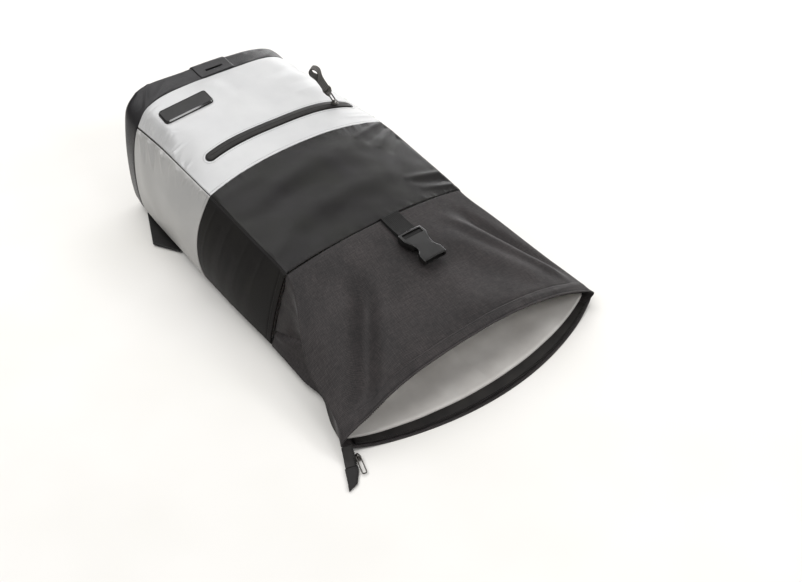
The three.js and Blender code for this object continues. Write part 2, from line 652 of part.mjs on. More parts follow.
const mouthSlider = new THREE.Group();
mouthSlider.position.set(MOUTH_SLIDER.x, MOUTH_SLIDER.y, MOUTH_SLIDER.z);
mouthSlider.rotation.z = MOUTH_HEADING;
bag.add(mouthSlider);
add('mouth_zip_slider', slider(MOUTH_SLIDER), darkMetal, mouthSlider);

const mouthPull = new THREE.Group();
mouthPull.position.set(0, 0, EYE_Z);
mouthPull.setRotationFromMatrix(new THREE.Matrix4().makeBasis(
  new THREE.Vector3(0, -1, 0),
  new THREE.Vector3(Math.cos(MOUTH_DROP), 0, -Math.sin(MOUTH_DROP)),
  new THREE.Vector3(Math.sin(MOUTH_DROP), 0, Math.cos(MOUTH_DROP)),
));
mouthSlider.add(mouthPull);
add('mouth_zip_pull', pullFrame(MOUTH_PULL), darkMetal, mouthPull);

// Shoulder straps, folded flat under the back, with their webbing and the wings at the base
const STRAP_ROWS = table(['y', 'x', 'width'], [
  [26, 50, 62], [80, 59, 64], [140, 72, 62], [190, 81, 56], [226, 86, 42], [238, 87, 32],
]);
const STRAP = { low: 0, high: 11.7, chamfer: 3 };
const STRAP_WEBBING = { width: 25, thickness: 1.6, z: 1 };
const STRAP_WEBBING_PATH = table(['x', 'y'], [[94, 249.2], [116, 263], [150, 281]]);
const WING_THICKNESS = 2.8;
const WING_CORNERS = table(['x', 'y', 'z'], [
  [120, 362, 8.6], [140.4, 352.4, 3.6], [171, 285, 2.4], [152, 245.5, 3.6], [122, 252, 8.6],
]);

function shoulderStrap(hand) {
  const { low, high, chamfer } = STRAP;
  return loft(STRAP_ROWS.map(({ y, x, width }) => {
    const half = width / 2;
    const outline = [
      [-half, low + chamfer], [-half + chamfer, low], [half - chamfer, low], [half, low + chamfer],
      [half, high - chamfer], [half - chamfer, high], [-half + chamfer, high], [-half, high - chamfer],
    ];
    return outline.map(([across, z]) => new THREE.Vector3(hand * x + across, y, z));
  }));
}

function strapWebbing(hand) {
  const path = STRAP_WEBBING_PATH.map(({ x, y }) => new THREE.Vector3(hand * x, y, STRAP_WEBBING.z));
  const run = path[path.length - 1].clone().sub(path[0]);
  const across = new THREE.Vector3(-run.y, run.x, 0);
  return ribbon(path, across, STRAP_WEBBING.width, STRAP_WEBBING.thickness);
}

function strapWing(hand) {
  const level = (height) => WING_CORNERS.map(({ x, y, z }) => new THREE.Vector3(hand * x, y, z + height));
  return loft([level(0), level(WING_THICKNESS)]);
}

for (const [side, hand] of [['left', -1], ['right', 1]]) {
  add(`shoulder_strap_${side}`, shoulderStrap(hand), backMesh);
  add(`strap_webbing_${side}`, strapWebbing(hand), webbingWeave);
  add(`strap_wing_${side}`, strapWing(hand), blackNylon);
}

const backpack = new THREE.Group();
backpack.name = 'roll_top_backpack';
backpack.add(bag);
export default backpack;
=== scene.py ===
"""Roll-top laptop backpack lying on its back, its top unrolled: cloth, trim, finishes and studio.

Pieces are worked out in millimetres in the bag's own frame: y runs from the roll-top seam to the
base, x from the bag's middle to its right, z up from the floor. TO_ROW takes them to the row frame.
"""
import functools
import math
import random
from types import SimpleNamespace

import bmesh
import bpy
from mathutils import Matrix, Vector, noise
from mathutils.bvhtree import BVHTree


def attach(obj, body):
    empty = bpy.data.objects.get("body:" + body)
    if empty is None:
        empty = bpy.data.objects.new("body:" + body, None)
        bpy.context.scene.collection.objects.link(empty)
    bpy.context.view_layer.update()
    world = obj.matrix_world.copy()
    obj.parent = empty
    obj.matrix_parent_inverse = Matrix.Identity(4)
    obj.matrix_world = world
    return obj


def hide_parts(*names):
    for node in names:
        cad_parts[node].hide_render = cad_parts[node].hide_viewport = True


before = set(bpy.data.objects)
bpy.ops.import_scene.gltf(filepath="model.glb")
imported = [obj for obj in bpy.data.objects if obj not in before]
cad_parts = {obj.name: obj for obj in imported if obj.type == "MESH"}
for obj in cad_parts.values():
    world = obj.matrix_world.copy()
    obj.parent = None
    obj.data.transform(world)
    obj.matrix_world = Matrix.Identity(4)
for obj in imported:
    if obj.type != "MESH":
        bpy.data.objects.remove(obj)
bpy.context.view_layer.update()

TO_ROW = Matrix.Scale(0.001, 4) @ Matrix.Translation((13.4, -77.3, 0.0))
CLOTH_UV = "cloth"
UP = Vector((0, 0, 1))
SIDES = (("left", -1), ("right", 1))

# Bands of the bag along y, and the gap left between two panels at a seam
ROLL_FROM, ROLL_TO = -190.0, 0.0
BODY_TO = 163.0
POCKET_TO = 356.0
BASE_TO = 393.0
SEAM = 0.6

# Cross sections from the mouth to the base: the same table as the solids are made from
SECTION_NAMES = (
    "half_front", "seam_z", "crown", "power", "half_back",
    "back_z", "back_mid_z", "side_x", "side_z", "bow", "drop",
)
SECTIONS = (
    (-190, 203, 20, 46, 2.4, 203, 9, 0.4, 213, 14, 48, 0),
    (-160, 193, 35, 41, 2.4, 195, 8, 1.0, 190, 20, 28, 0),
    (-125, 181.5, 50, 34, 2.4, 184, 8, 3.2, 166, 28, 12, 0),
    (-60, 160, 80, 23, 2.3, 175, 10, 8.2, 138, 42, 0, 0),
    (0, 140, 108, 12, 2.3, 170, 12, 12, 163, 56, 0, 0),
    (80, 140, 123, 17, 2.3, 166, 12, 12, 176, 66, 0, 0),
    (163, 139.5, 136, 22, 2.3, 160, 12, 12, 184, 76, 0, 0),
    (230, 136.5, 139.5, 28, 3.6, 154, 12, 12, 176, 77, 0, 0),
    (300, 133, 142, 34, 5.6, 148, 12, 12, 166, 79, 0, 0),
    (356, 131.8, 142, 36.5, 6.3, 142, 12, 12, 156, 80, 0, 2),
    (393, 132, 163, 21.5, 10, 137.5, 12, 12, 145, 76, 0, 16),
)

# Soft folds of the unrolled front sheet: height, width and the points of its line
ROLL_FOLDS = (
    (-15.0, 14.0, ((-66, -48), (-80, -76), (-104, -105), (-127, -133), (-146, -158), (-168, -178))),
    (4.0, 15.0, ((-98, -62), (-128, -104), (-156, -146))),
    (3.0, 20.0, ((-62, -100), (-92, -150), (-112, -186))),
    (6.0, 9.0, ((86, -32), (104, -64), (124, -96), (145, -128), (178, -168))),
    (-6.0, 8.0, ((107, -28), (125, -60), (144, -92), (163, -124), (190, -162))),
    (5.0, 18.0, ((62, -50), (96, -104), (142, -160))),
    (3.0, 34.0, ((20, -96), (24, -172))),
)
FOLD_EDGE_FADE = 0.12
FOLD_SEAM_FADE = 30.0
FOLD_START, FOLD_END = (-0.1, 0.25), (-0.1, 0.2)
BACK_EDGE_POWER = 8
FRONT_CROWD = 0.2

# The unrolled front's left edge hangs over the side, and the back's is drawn in under it
LEFT_HANG = SimpleNamespace(y=-96.0, width=50.0, out=12.0, down=15.0, share_from=0.9)
LEFT_TUCK = SimpleNamespace(y=-108.0, width=22.0, depth=7.0)


def curve_through(column):
    """A curve through one column of the section table that never overshoots between two rows."""
    at = [row[0] for row in SECTIONS]
    value = [row[column] for row in SECTIONS]
    slopes = [(value[i + 1] - value[i]) / (at[i + 1] - at[i]) for i in range(len(at) - 1)]
    tangents = [slopes[0]]
    for before, after in zip(slopes, slopes[1:]):
        tangents.append(0.0 if before * after <= 0 else 2 * before * after / (before + after))
    tangents.append(slopes[-1])

    def value_at(y):
        i = 0
        while i < len(at) - 2 and y > at[i + 1]:
            i += 1
        h = at[i + 1] - at[i]
        t = (y - at[i]) / h
        s = 1 - t
        near = (1 + 2 * t) * s * s * value[i] + t * s * s * h * tangents[i]
        far = t * t * (3 - 2 * t) * value[i + 1] - t * t * s * h * tangents[i + 1]
        return near + far

    return value_at


SECTION_CURVES = {name: curve_through(i + 1) for i, name in enumerate(SECTION_NAMES)}


@functools.lru_cache(maxsize=None)
def section(y):
    """The measures of the bag's cross section at y."""
    return SimpleNamespace(**{name: curve(y) for name, curve in SECTION_CURVES.items()})


def ripples(lines, a, b, taper=0.0):
    """Height of a set of straight folds at a point; a taper lets each die away towards its far end."""
    total = 0.0
    for a0, b0, a1, b1, height, width in lines:
        da, db = a1 - a0, b1 - b0
        t = min(1.0, max(0.0, ((a - a0) * da + (b - b0) * db) / (da * da + db * db)))
        away = ((a - a0 - t * da) ** 2 + (b - b0 - t * db) ** 2) / (width * width)
        if away < 6:
            total += height * (1 - taper * t) * math.exp(-away)
    return total


def bent_folds(folds, x, y):
    """Height of a set of folds at a point; each runs along a bent line and dies away at both ends."""
    total = 0.0
    for height, width, path in folds:
        nearest, at, gone = 1e9, 0.0, 0.0
        for (x0, y0), (x1, y1) in zip(path, path[1:]):
            dx, dy = x1 - x0, y1 - y0
            span = math.hypot(dx, dy)
            t = min(1.0, max(0.0, ((x - x0) * dx + (y - y0) * dy) / (span * span)))
            away = math.hypot(x - x0 - t * dx, y - y0 - t * dy)
            if away < nearest:
                nearest, at = away, gone + t * span
            gone += span
        if nearest < 3 * width:
            share = at / gone
            ends = height * ease(*FOLD_START, share) * ease(*FOLD_END, 1 - share)
            total += ends * bell(nearest, width)
    return total


def front_z(x, y):
    """Height of the front face above the floor."""
    s = section(y)
    t = min(1.0, abs(x) / s.half_front)
    lowered = s.drop * t * t if x > 0 else 0.0
    z = s.seam_z + s.crown * (1 - t ** s.power) - lowered
    if y >= ROLL_TO:
        return z
    fade = min(1.0, (1 - t) / FOLD_EDGE_FADE) * min(1.0, (ROLL_TO - y) / FOLD_SEAM_FADE)
    return z + fade * bent_folds(ROLL_FOLDS, x, y)


def left_hang(y):
    """How far the unrolled front's left edge hangs out over the side and down, as the picture shows it."""
    share = bell(y - LEFT_HANG.y, LEFT_HANG.width) if y < ROLL_TO else 0.0
    return LEFT_HANG.out * share, LEFT_HANG.down * share


def left_tuck(y):
    """How far the unrolled back's left edge is drawn in under the front."""
    return LEFT_TUCK.depth * bell(y - LEFT_TUCK.y, LEFT_TUCK.width) if y < ROLL_TO else 0.0


def front_point(w, y):
    """w runs from 0 at the left seam to 1 at the right one, with its steps drawn closer at the seams."""
    q = 2 * w - 1
    half = section(y).half_front
    x = half * ((1 + FRONT_CROWD) * q - FRONT_CROWD * q ** 3)
    out, down = left_hang(y)
    share = ease(LEFT_HANG.share_from, 1.0, -x / half)
    return Vector((x - out * share, y, front_z(x, y) - down * share))


def side_point(t, y, hand):
    """t runs from 0 at the front seam down to 1 at the back seam."""
    s = section(y)
    u = 1 - t
    seam_z = s.seam_z - (s.drop if hand > 0 else 0.0)
    top, low = s.half_front, s.half_back
    if hand < 0:
        out, down = left_hang(y)
        top, low, seam_z = top + out, low - left_tuck(y), seam_z - down
    x = u * u * top + 2 * u * t * s.side_x + t * t * low
    z = u * u * seam_z + 2 * u * t * s.side_z + t * t * s.back_z
    return Vector((hand * x, y, z))


def back_point(t, y):
    """t runs from -1 at the left seam to 1 at the right one."""
    s = section(y)
    z = s.back_mid_z + (s.back_z - s.back_mid_z) * abs(t) ** BACK_EDGE_POWER
    drawn_in = left_tuck(y) * t ** 4 if t < 0 else 0.0
    return Vector((s.half_back * t + drawn_in, y - s.bow * (1 - t * t), z))


def face_axes(x, y, reach=4.0):
    """Directions that lie on the front face at a point, along x and across it, and out of the face."""
    along = Vector((2 * reach, 0, front_z(x + reach, y) - front_z(x - reach, y))).normalized()
    up_bag = Vector((0, 2 * reach, front_z(x, y + reach) - front_z(x, y - reach))).normalized()
    out = along.cross(up_bag).normalized()
    return along, out.cross(along), out


def axes_matrix(origin, x, y, z):
    turned = Matrix((x, y, z)).transposed().to_4x4()
    return Matrix.Translation(origin) @ turned


def ease(low, high, value):
    """0 below low, 1 above high, and a smooth step between them."""
    t = min(1.0, max(0.0, (value - low) / (high - low)))
    return t * t * (3 - 2 * t)


def bell(distance, width):
    return math.exp(-(distance / width) ** 2)


def crowd(u, share):
    """Draws even steps from 0 to 1 closer together towards both ends."""
    return u - share * math.sin(2 * math.pi * u) / (2 * math.pi)


def drift(x, y, z, size):
    """Smooth noise from about -1 to 1 whose bumps are about the given size in mm."""
    return noise.noise(Vector((x, y, z)) / size)


# Finishes


def linear(code):
    """An sRGB hex value as the linear colour that Blender works in."""
    parts = [int(code[i:i + 2], 16) / 255 for i in (1, 3, 5)]
    return (*[c / 12.92 if c <= 0.04045 else ((c + 0.055) / 1.055) ** 2.4 for c in parts], 1.0)


def feed(node, feeds):
    """Gives a node its inputs, each by a value or by the socket that is linked to it."""
    for name, value in feeds.items():
        if isinstance(value, bpy.types.NodeSocket):
            node.id_data.links.new(value, node.inputs[name])
        else:
            node.inputs[name].default_value = value


def add(tree, kind, out, feeds=None, stops=(), **settings):
    """Adds one node and gives back one of its outputs. stops are a colour ramp's places and hex colours."""
    made = tree.nodes.new("ShaderNode" + kind)
    for name, value in settings.items():
        setattr(made, name, value)
    feed(made, feeds or {})
    for _ in stops[2:]:
        made.color_ramp.elements.new(0.5)
    for k, (at, code) in enumerate(stops):
        made.color_ramp.elements[k].position = at
        made.color_ramp.elements[k].color = linear(code)
    return made.outputs[out]


def new_finish(name):
    """A material and its nodes, under the given name."""
    finish = bpy.data.materials.new(name)
    finish.use_nodes = True
    return finish, finish.node_tree


def dress(finish, *looks):
    """Gives a finish its looks, which are inputs of its shader."""
    for part in looks:
        feed(finish.node_tree.nodes["Principled BSDF"], part)
    return finish


def wave_scale(spacing):
    """Scale of a wave texture whose bands lie at a given spacing."""
    return math.pi / 10 / spacing


def woven(tree, thread_mm, skew=0.0):
    """Height of a plain weave on the cloth's own UV map, which is in millimetres. The bands and the
    checks of over and under share one grid, a thread to each square."""
    laid = add(tree, "UVMap", "UV", uv_map=CLOTH_UV)
    turned = add(tree, "Mapping", "Vector", {"Vector": laid, "Rotation": (0.0, 0.0, skew)})
    bands = {"Vector": turned, "Scale": wave_scale(thread_mm)}
    warp = add(tree, "TexWave", "Fac", bands, bands_direction="X")
    weft = add(tree, "TexWave", "Fac", bands, bands_direction="Y")
    over = add(tree, "TexChecker", "Fac", {"Vector": turned, "Scale": 1 / thread_mm})
    return add(tree, "Mix", 0, {0: over, 2: warp, 3: weft}), laid


def fine_grain(tree, grain_mm, detail, clouds_per_m, tones, rough, relief):
    """Looks that moulded and coated pieces share: a fine grain in gloss and relief, clouds in tone."""
    place = add(tree, "TexCoord", "Object")
    grain = add(tree, "TexNoise", "Fac", {"Vector": place, "Scale": 1000 / grain_mm, "Detail": detail})
    cloud = add(tree, "TexNoise", "Fac", {"Vector": place, "Scale": clouds_per_m, "Detail": 2.0})
    low, high = rough
    return {
        "Base Color": add(tree, "ValToRGB", "Color", {"Fac": cloud}, ((0.3, tones[0]), (0.7, tones[1]))),
        "Roughness": add(tree, "MapRange", "Result", {"Value": grain, "To Min": low, "To Max": high}),
        "Normal": add(tree, "Bump", "Normal", {"Strength": relief, "Distance": 0.0001, "Height": grain}),
    }


def silver_coated_polyester(name, dark, light):
    """Polyester with a silver polyurethane film: a bright satin with a faint weave under the film,
    soft cloudy changes of tone and a broad highlight along its folds."""
    finish, tree = new_finish(name)
    # Real threads are about 0.4 mm apart; drawn at 1.1 mm so that the weave shows at all
    height, laid = woven(tree, 1.1)
    cloud = add(tree, "TexNoise", "Fac", {"Vector": laid, "Scale": 1 / CLOUD_MM, "Detail": 4.0})
    shade = add(tree, "Mix", 0, {0: 0.12, 2: cloud, 3: height})
    return dress(finish, {
        "Base Color": add(tree, "ValToRGB", "Color", {"Fac": shade}, ((0.3, dark), (0.7, light))),
        "Roughness": add(tree, "MapRange", "Result", {"Value": cloud, "To Min": 0.38, "To Max": 0.5}),
        "Normal": add(tree, "Bump", "Normal", {"Strength": 0.12, "Distance": 0.0002, "Height": height}),
        "Metallic": 0.16,
        "Specular IOR Level": 0.5,
    })


def smooth_black_nylon(name, tones, shine, rough):
    """Tightly woven nylon with a coated back: nearly black, its tone drifting between cool and warm,
    with a dull satin shine that turns lighter where the cloth leans away."""
    finish, tree = new_finish(name)
    # Real threads are about 0.35 mm apart; drawn at 1.0 mm so that the weave shows at all
    height, laid = woven(tree, 1.0)
    cloud = add(tree, "TexNoise", "Fac", {"Vector": laid, "Scale": 1 / CLOUD_MM, "Detail": 5.0})
    shade = add(tree, "Mix", 0, {0: 0.22, 2: cloud, 3: height})
    low, high = rough
    return dress(finish, {
        "Base Color": add(tree, "ValToRGB", "Color", {"Fac": shade}, ((0.3, tones[0]), (0.7, tones[1]))),
        "Roughness": add(tree, "MapRange", "Result", {"Value": cloud, "To Min": low, "To Max": high}),
        "Normal": add(tree, "Bump", "Normal", {"Strength": 0.25, "Distance": 0.0002, "Height": height}),
        "Specular IOR Level": shine,
        "IOR": 1.53,
    })


def matt_roll_weave():
    """Coarse uncoated polyester, a plain weave with slubs: matt dark grey with a grain of lighter
    threads that run both ways, and a faint bloom at a low angle."""
    finish, tree = new_finish("matt_roll_weave")
    # Real threads are about 0.7 mm apart; drawn at 1.6 mm, as the grain shows in the picture
    height, laid = woven(tree, 1.6, skew=0.12)
    # Slubs of about 2 by 11 mm, along both threads, and clouds of 50 mm
    slubs = []
    for stretch in ((1.0, 0.16, 1.0), (0.16, 1.0, 1.0)):
        pulled = add(tree, "Mapping", "Vector", {"Vector": laid, "Scale": stretch})
        slubs.append(add(tree, "TexNoise", "Fac", {"Vector": pulled, "Scale": 0.55, "Detail": 2.0}))
    slub = add(tree, "Mix", 0, {0: 0.5, 2: slubs[0], 3: slubs[1]})
    threads = add(tree, "Mix", 0, {0: 0.68, 2: height, 3: slub})
    cloud = add(tree, "TexNoise", "Fac", {"Vector": laid, "Scale": 1 / 50, "Detail": 3.0})
    shade = add(tree, "Mix", 0, {0: 0.25, 2: threads, 3: cloud})
    tones = ((0.32, "#0d0a0a"), (0.5, "#1e1a1a"), (0.68, "#3f3938"))
    return dress(finish, {
        "Base Color": add(tree, "ValToRGB", "Color", {"Fac": shade}, tones),
        "Normal": add(tree, "Bump", "Normal", {"Strength": 0.5, "Distance": 0.0004, "Height": threads}),
        "Roughness": 0.66,
        "Specular IOR Level": 0.34,
        "Sheen Weight": 0.08,
        "Sheen Roughness": 0.5,
    })


def air_mesh():
    """Knitted spacer mesh over foam: black, matt, with rows of small round holes."""
    finish, tree = new_finish("air_mesh")
    laid = add(tree, "UVMap", "UV", uv_map=CLOTH_UV)
    # Holes about 3 mm apart, as on a real spacer mesh
    hole = add(tree, "TexVoronoi", "Distance", {"Vector": laid, "Scale": 1 / 3.0, "Randomness": 0.25})
    tones = ((0.16, "#050505"), (0.34, "#1b1a1a"), (0.62, "#2b2a29"))
    return dress(finish, {
        "Base Color": add(tree, "ValToRGB", "Color", {"Fac": hole}, tones),
        "Normal": add(tree, "Bump", "Normal", {"Strength": 0.6, "Distance": 0.0008, "Height": hole}),
        "Roughness": 0.85,
        "Specular IOR Level": 0.25,
    })


def pale_lining():
    """Thin light grey polyester lining: fine weave, a little shine, slightly uneven in tone."""
    finish, tree = new_finish("pale_lining")
    # Real threads are about 0.3 mm apart; drawn at 1.0 mm so that the weave shows at all. Clouds of 33 mm
    height, laid = woven(tree, 1.0)
    cloud = add(tree, "TexNoise", "Fac", {"Vector": laid, "Scale": 0.03, "Detail": 3.0})
    return dress(finish, {
        "Base Color": add(tree, "ValToRGB", "Color", {"Fac": cloud}, ((0.3, "#b9b5b0"), (0.7, "#cfccc7"))),
        "Normal": add(tree, "Bump", "Normal", {"Strength": 0.15, "Distance": 0.0002, "Height": height}),
        "Roughness": 0.55,
    })


def ribbed_webbing(name, low, middle, high):
    """Woven polypropylene webbing: matt, with ribs across the band and a firm selvedge."""
    finish, tree = new_finish(name)
    laid = add(tree, "UVMap", "UV", uv_map=CLOTH_UV)
    # Ribs 1.6 mm apart and cords 2.2 mm apart, as on real webbing
    rib = add(tree, "TexWave", "Fac", {"Vector": laid, "Scale": wave_scale(1.6)}, bands_direction="Y")
    cord = add(tree, "TexWave", "Fac", {"Vector": laid, "Scale": wave_scale(2.2)}, bands_direction="X")
    weave = add(tree, "Math", 0, {0: rib, 1: cord}, operation="MULTIPLY")
    tones = ((0.0, low), (0.45, middle), (1.0, high))
    return dress(finish, {
        "Base Color": add(tree, "ValToRGB", "Color", {"Fac": weave}, tones),
        "Normal": add(tree, "Bump", "Normal", {"Strength": 0.7, "Distance": 0.0004, "Height": weave}),
        "Roughness": 0.7,
        "Specular IOR Level": 0.3,
    })


def coated_zip_tape():
    """Zip tape with a polyurethane film over the coil: dark grey, rubbery satin, finely pebbled."""
    finish, tree = new_finish("coated_zip_tape")
    # Pebbles of about 0.8 mm on the film, in clouds of 25 mm
    looks = fine_grain(tree, 0.8, 2.0, 40.0, ("#1b1918", "#272523"), (0.44, 0.62), 0.25)
    return dress(finish, looks, {"Specular IOR Level": 0.25})


def soft_rubber(name, rough, shine):
    """Moulded soft rubber: nearly black, a fine blasted grain on its faces and a tight gloss on its edges."""
    finish, tree = new_finish(name)
    # Blasted grain of about 0.6 mm, in clouds of 17 mm
    looks = fine_grain(tree, 0.625, 3.0, 60.0, ("#191817", "#232221"), rough, rough[0])
    return dress(finish, looks, {"Specular IOR Level": shine})


def moulded_acetal(name, rough, shine):
    """Injection-moulded acetal: dark grey plastic with a fine spark-eroded grain and smooth bright edges."""
    finish, tree = new_finish(name)
    # Spark-eroded grain of about 0.5 mm, in clouds of 11 mm
    looks = fine_grain(tree, 0.5, 3.0, 90.0, ("#131211", "#1c1b1a"), rough, 0.12)
    return dress(finish, looks, {"IOR": 1.48, "Specular IOR Level": shine})


def black_nickel():
    """Zinc alloy plated in black nickel: a dark metal with bright rounded edges and fine handling marks."""
    finish, tree = new_finish("black_nickel")
    place = add(tree, "TexCoord", "Object")
    # Handling marks of about 1 mm
    marks = add(tree, "TexNoise", "Fac", {"Vector": place, "Scale": 1000 / 1.0, "Detail": 4.0})
    return dress(finish, {
        "Base Color": add(tree, "ValToRGB", "Color", {"Fac": marks}, ((0.3, "#4a4845"), (0.7, "#6a6763"))),
        "Roughness": add(tree, "MapRange", "Result", {"Value": marks, "To Min": 0.18, "To Max": 0.36}),
        "Metallic": 1.0,
    })


def sewing_thread(name, dark, light):
    """Twisted polyester thread, with the slant of its twist catching the light."""
    finish, tree = new_finish(name)
    place = add(tree, "TexCoord", "Object")
    # Twist of about 0.8 mm
    twist = add(
        tree, "TexWave", "Fac", {"Vector": place, "Scale": wave_scale(0.0008)}, bands_direction="DIAGONAL",
    )
    return dress(finish, {
        "Base Color": add(tree, "ValToRGB", "Color", {"Fac": twist}, ((0.2, dark), (0.8, light))),
        "Roughness": 0.6,
        "Specular IOR Level": 0.2,
    })


# Size of the soft clouds of tone on the panels' cloth
CLOUD_MM = 62.5

SILVER = silver_coated_polyester("silver_coated_polyester", "#b5b5b5", "#c1c1c0")
# The side panels' copy of the silver cloth is darker than the front's: painted shade, for the light the sides
# lose by facing away from the lamps.
SILVER_SIDE_PAINTED_SHADE = silver_coated_polyester("silver_coated_polyester_side_painted_shade", "#a09f9d", "#abaaa7")
BODY_NYLON = smooth_black_nylon(
    "smooth_black_nylon", ("#110d10", "#1a1a15"), 0.21, (0.36, 0.52),
)
# The body sides' copy of the black nylon shines less than the front's, so that the sides come out darker:
# painted shade.
BODY_SIDE_NYLON_PAINTED_SHADE = smooth_black_nylon(
    "smooth_black_nylon_side_painted_shade", ("#121011", "#1b1a17"), 0.12, (0.46, 0.6),
)
BASE_NYLON = smooth_black_nylon("base_nylon", ("#110f12", "#1c1a1b"), 0.34, (0.32, 0.46))
ROLL_WEAVE = matt_roll_weave()
AIR_MESH = air_mesh()
LINING = pale_lining()
WEBBING = ribbed_webbing("ribbed_webbing", "#090908", "#161514", "#292725")
# The pull loop's copy of the webbing is a lighter grey than the rest: painted light, for the light from the
# right and behind that falls on the loop.
GREY_WEBBING_PAINTED_LIGHT = ribbed_webbing("ribbed_webbing_grey_painted_light", "#383634", "#65625f", "#8c8985")
ZIP_TAPE = coated_zip_tape()
RUBBER = soft_rubber("soft_rubber", (0.34, 0.46), 0.22)
RUBBER_EDGE = soft_rubber("polished_rubber_edge", (0.06, 0.12), 0.8)
ACETAL = moulded_acetal("moulded_acetal", (0.34, 0.5), 0.34)
ACETAL_EDGE = moulded_acetal("polished_acetal_edge", (0.1, 0.18), 0.6)
METAL = black_nickel()
THREAD = sewing_thread("black_thread", "#141313", "#2c2a29")
GREY_THREAD = sewing_thread("grey_thread", "#77787a", "#96979a")

# Making pieces


def keep_piece(bm, name, finish, nodes=(), body="bag", at=None, sharp=40.0, inside=None):
    """Turns a bmesh in millimetres into a piece in the row frame that rides on a body."""
    bmesh.ops.transform(bm, matrix=TO_ROW @ (at or Matrix.Identity(4)), verts=bm.verts)
    limit = math.radians(sharp)
    for face in bm.faces:
        face.smooth = True
    for edge in bm.edges:
        edge.smooth = not edge.is_manifold or edge.calc_face_angle(0.0) < limit
    mesh = bpy.data.meshes.new(name)
    bm.to_mesh(mesh)
    bm.free()
    piece = bpy.data.objects.new(name, mesh)
    bpy.context.scene.collection.objects.link(piece)
    mesh.materials.append(finish)
    if inside:
        mesh.materials.append(inside)
    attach(piece, body)
    if nodes:
        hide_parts(*nodes)
    return piece


def thicken(piece, thickness_mm, offset=-1.0):
    """Gives a sheet its thickness; a second finish, where it has one, covers its inner side."""
    made = piece.modifiers.new("thickness", "SOLIDIFY")
    made.thickness = thickness_mm / 1000
    made.offset = offset
    made.material_offset = len(piece.data.materials) - 1
    return piece


def round_edges(piece, width_mm, segments=2, angle=35.0):
    made = piece.modifiers.new("round_edges", "BEVEL")
    made.width = width_mm / 1000
    made.segments = segments
    made.limit_method = "ANGLE"
    made.angle_limit = math.radians(angle)
    return piece


def lay_cloth(columns, rows, flat, point, relief=None, crowded=(0.0, 0.0)):
    """A grid of cloth laid over a surface. point(u, v) gives its place for u and v from 0 to 1, and
    relief(u, v, place, normal) how far each point then moves. flat is the cut's size in mm, and
    crowded says how much closer the grid's lines are drawn towards the edges of u and of v."""
    bm = bmesh.new()
    laid = bm.loops.layers.uv.new(CLOTH_UV)
    bmesh.ops.create_grid(bm, x_segments=columns, y_segments=rows, size=0.5)
    bm.verts.index_update()
    spots = [(crowd(vert.co.x + 0.5, crowded[0]), crowd(vert.co.y + 0.5, crowded[1])) for vert in bm.verts]
    for face in bm.faces:
        for loop in face.loops:
            u, v = spots[loop.vert.index]
            loop[laid].uv = (u * flat[0], v * flat[1])
    for vert in bm.verts:
        vert.co = point(*spots[vert.index])
    if relief:
        bm.normal_update()
        moves = [relief(*spots[vert.index], vert.co, vert.normal) for vert in bm.verts]
        for vert, move in zip(bm.verts, moves):
            vert.co += move
    return bm


def smooth_run(points, steps):
    """Points along a smooth curve through the given ones."""
    run = []
    last = len(points) - 1
    for i in range(last):
        p0, p1, p2, p3 = (points[min(last, max(0, k))] for k in (i - 1, i, i + 1, i + 2))
        for k in range(steps):
            t = k / steps
            bend = (2 * p0 - 5 * p1 + 4 * p2 - p3) * t * t + (3 * p1 - p0 - 3 * p2 + p3) * t ** 3
            run.append(0.5 * (2 * p1 + (p2 - p0) * t + bend))
    run.append(points[-1].copy())
    return run


def run_length(run):
    return sum((b - a).length for a, b in zip(run, run[1:]))


def even_run(run, step):
    """The same run with points at even steps along it."""
    count = max(1, round(run_length(run) / step))
    stride = run_length(run) / count
    made, left = [run[0].copy()], stride
    for a, b in zip(run, run[1:]):
        span, gone = (b - a).length, 0.0
        while span - gone >= left - 1e-9 and len(made) < count:
            gone += left
            made.append(a.lerp(b, gone / span))
            left = stride
        left -= span - gone
    made.append(run[-1].copy())
    return made


def woven_band(run, across, width, columns=8, sag=0.0):
    """A flat band along a run of points, its width along one direction, with slightly thinned edges."""
    side = across.normalized()
    last = len(run) - 1

    def point(u, v):
        k = min(last, round(v * last))
        return run[k] + side * ((u - 0.5) * width)

    def relief(u, v, place, normal):
        edge = abs(2 * u - 1)
        return normal * (-sag * edge ** 6)

    return lay_cloth(columns, last, (width, run_length(run)), point, relief)


def plate(outline, low, high, edge=0.0, segments=3):
    """A plate cut to a closed outline of (x, y) points, with its upper and lower edges rounded."""
    bm = bmesh.new()
    floor = bm.faces.new([bm.verts.new((x, y, low)) for x, y in outline])
    raised = bmesh.ops.extrude_face_region(bm, geom=[floor], use_keep_orig=True)["geom"]
    lifted = [g for g in raised if isinstance(g, bmesh.types.BMVert)]
    bmesh.ops.translate(bm, vec=(0, 0, high - low), verts=lifted)
    bmesh.ops.recalc_face_normals(bm, faces=bm.faces)
    if edge:
        rims = [e for e in bm.edges if abs(e.verts[0].co.z - e.verts[1].co.z) < 1e-6]
        bmesh.ops.bevel(
            bm, geom=rims, offset=edge, segments=segments, profile=0.5, affect="EDGES", material=-1,
            clamp_overlap=True,
        )
    return bm


def round_rectangle(length, width, corner, segments=6):
    """Outline of a rectangle with round corners, run anticlockwise."""
    bm = bmesh.new()
    bmesh.ops.create_grid(bm, x_segments=1, y_segments=1, size=0.5)
    bmesh.ops.scale(bm, vec=(length, width, 1), verts=bm.verts)
    bmesh.ops.bevel(
        bm, geom=bm.verts[:], offset=corner, segments=segments, profile=0.5, affect="VERTICES", material=-1,
    )
    bm.faces.ensure_lookup_table()
    outline = [(vert.co.x, vert.co.y) for vert in bm.faces[0].verts]
    bm.free()
    return outline


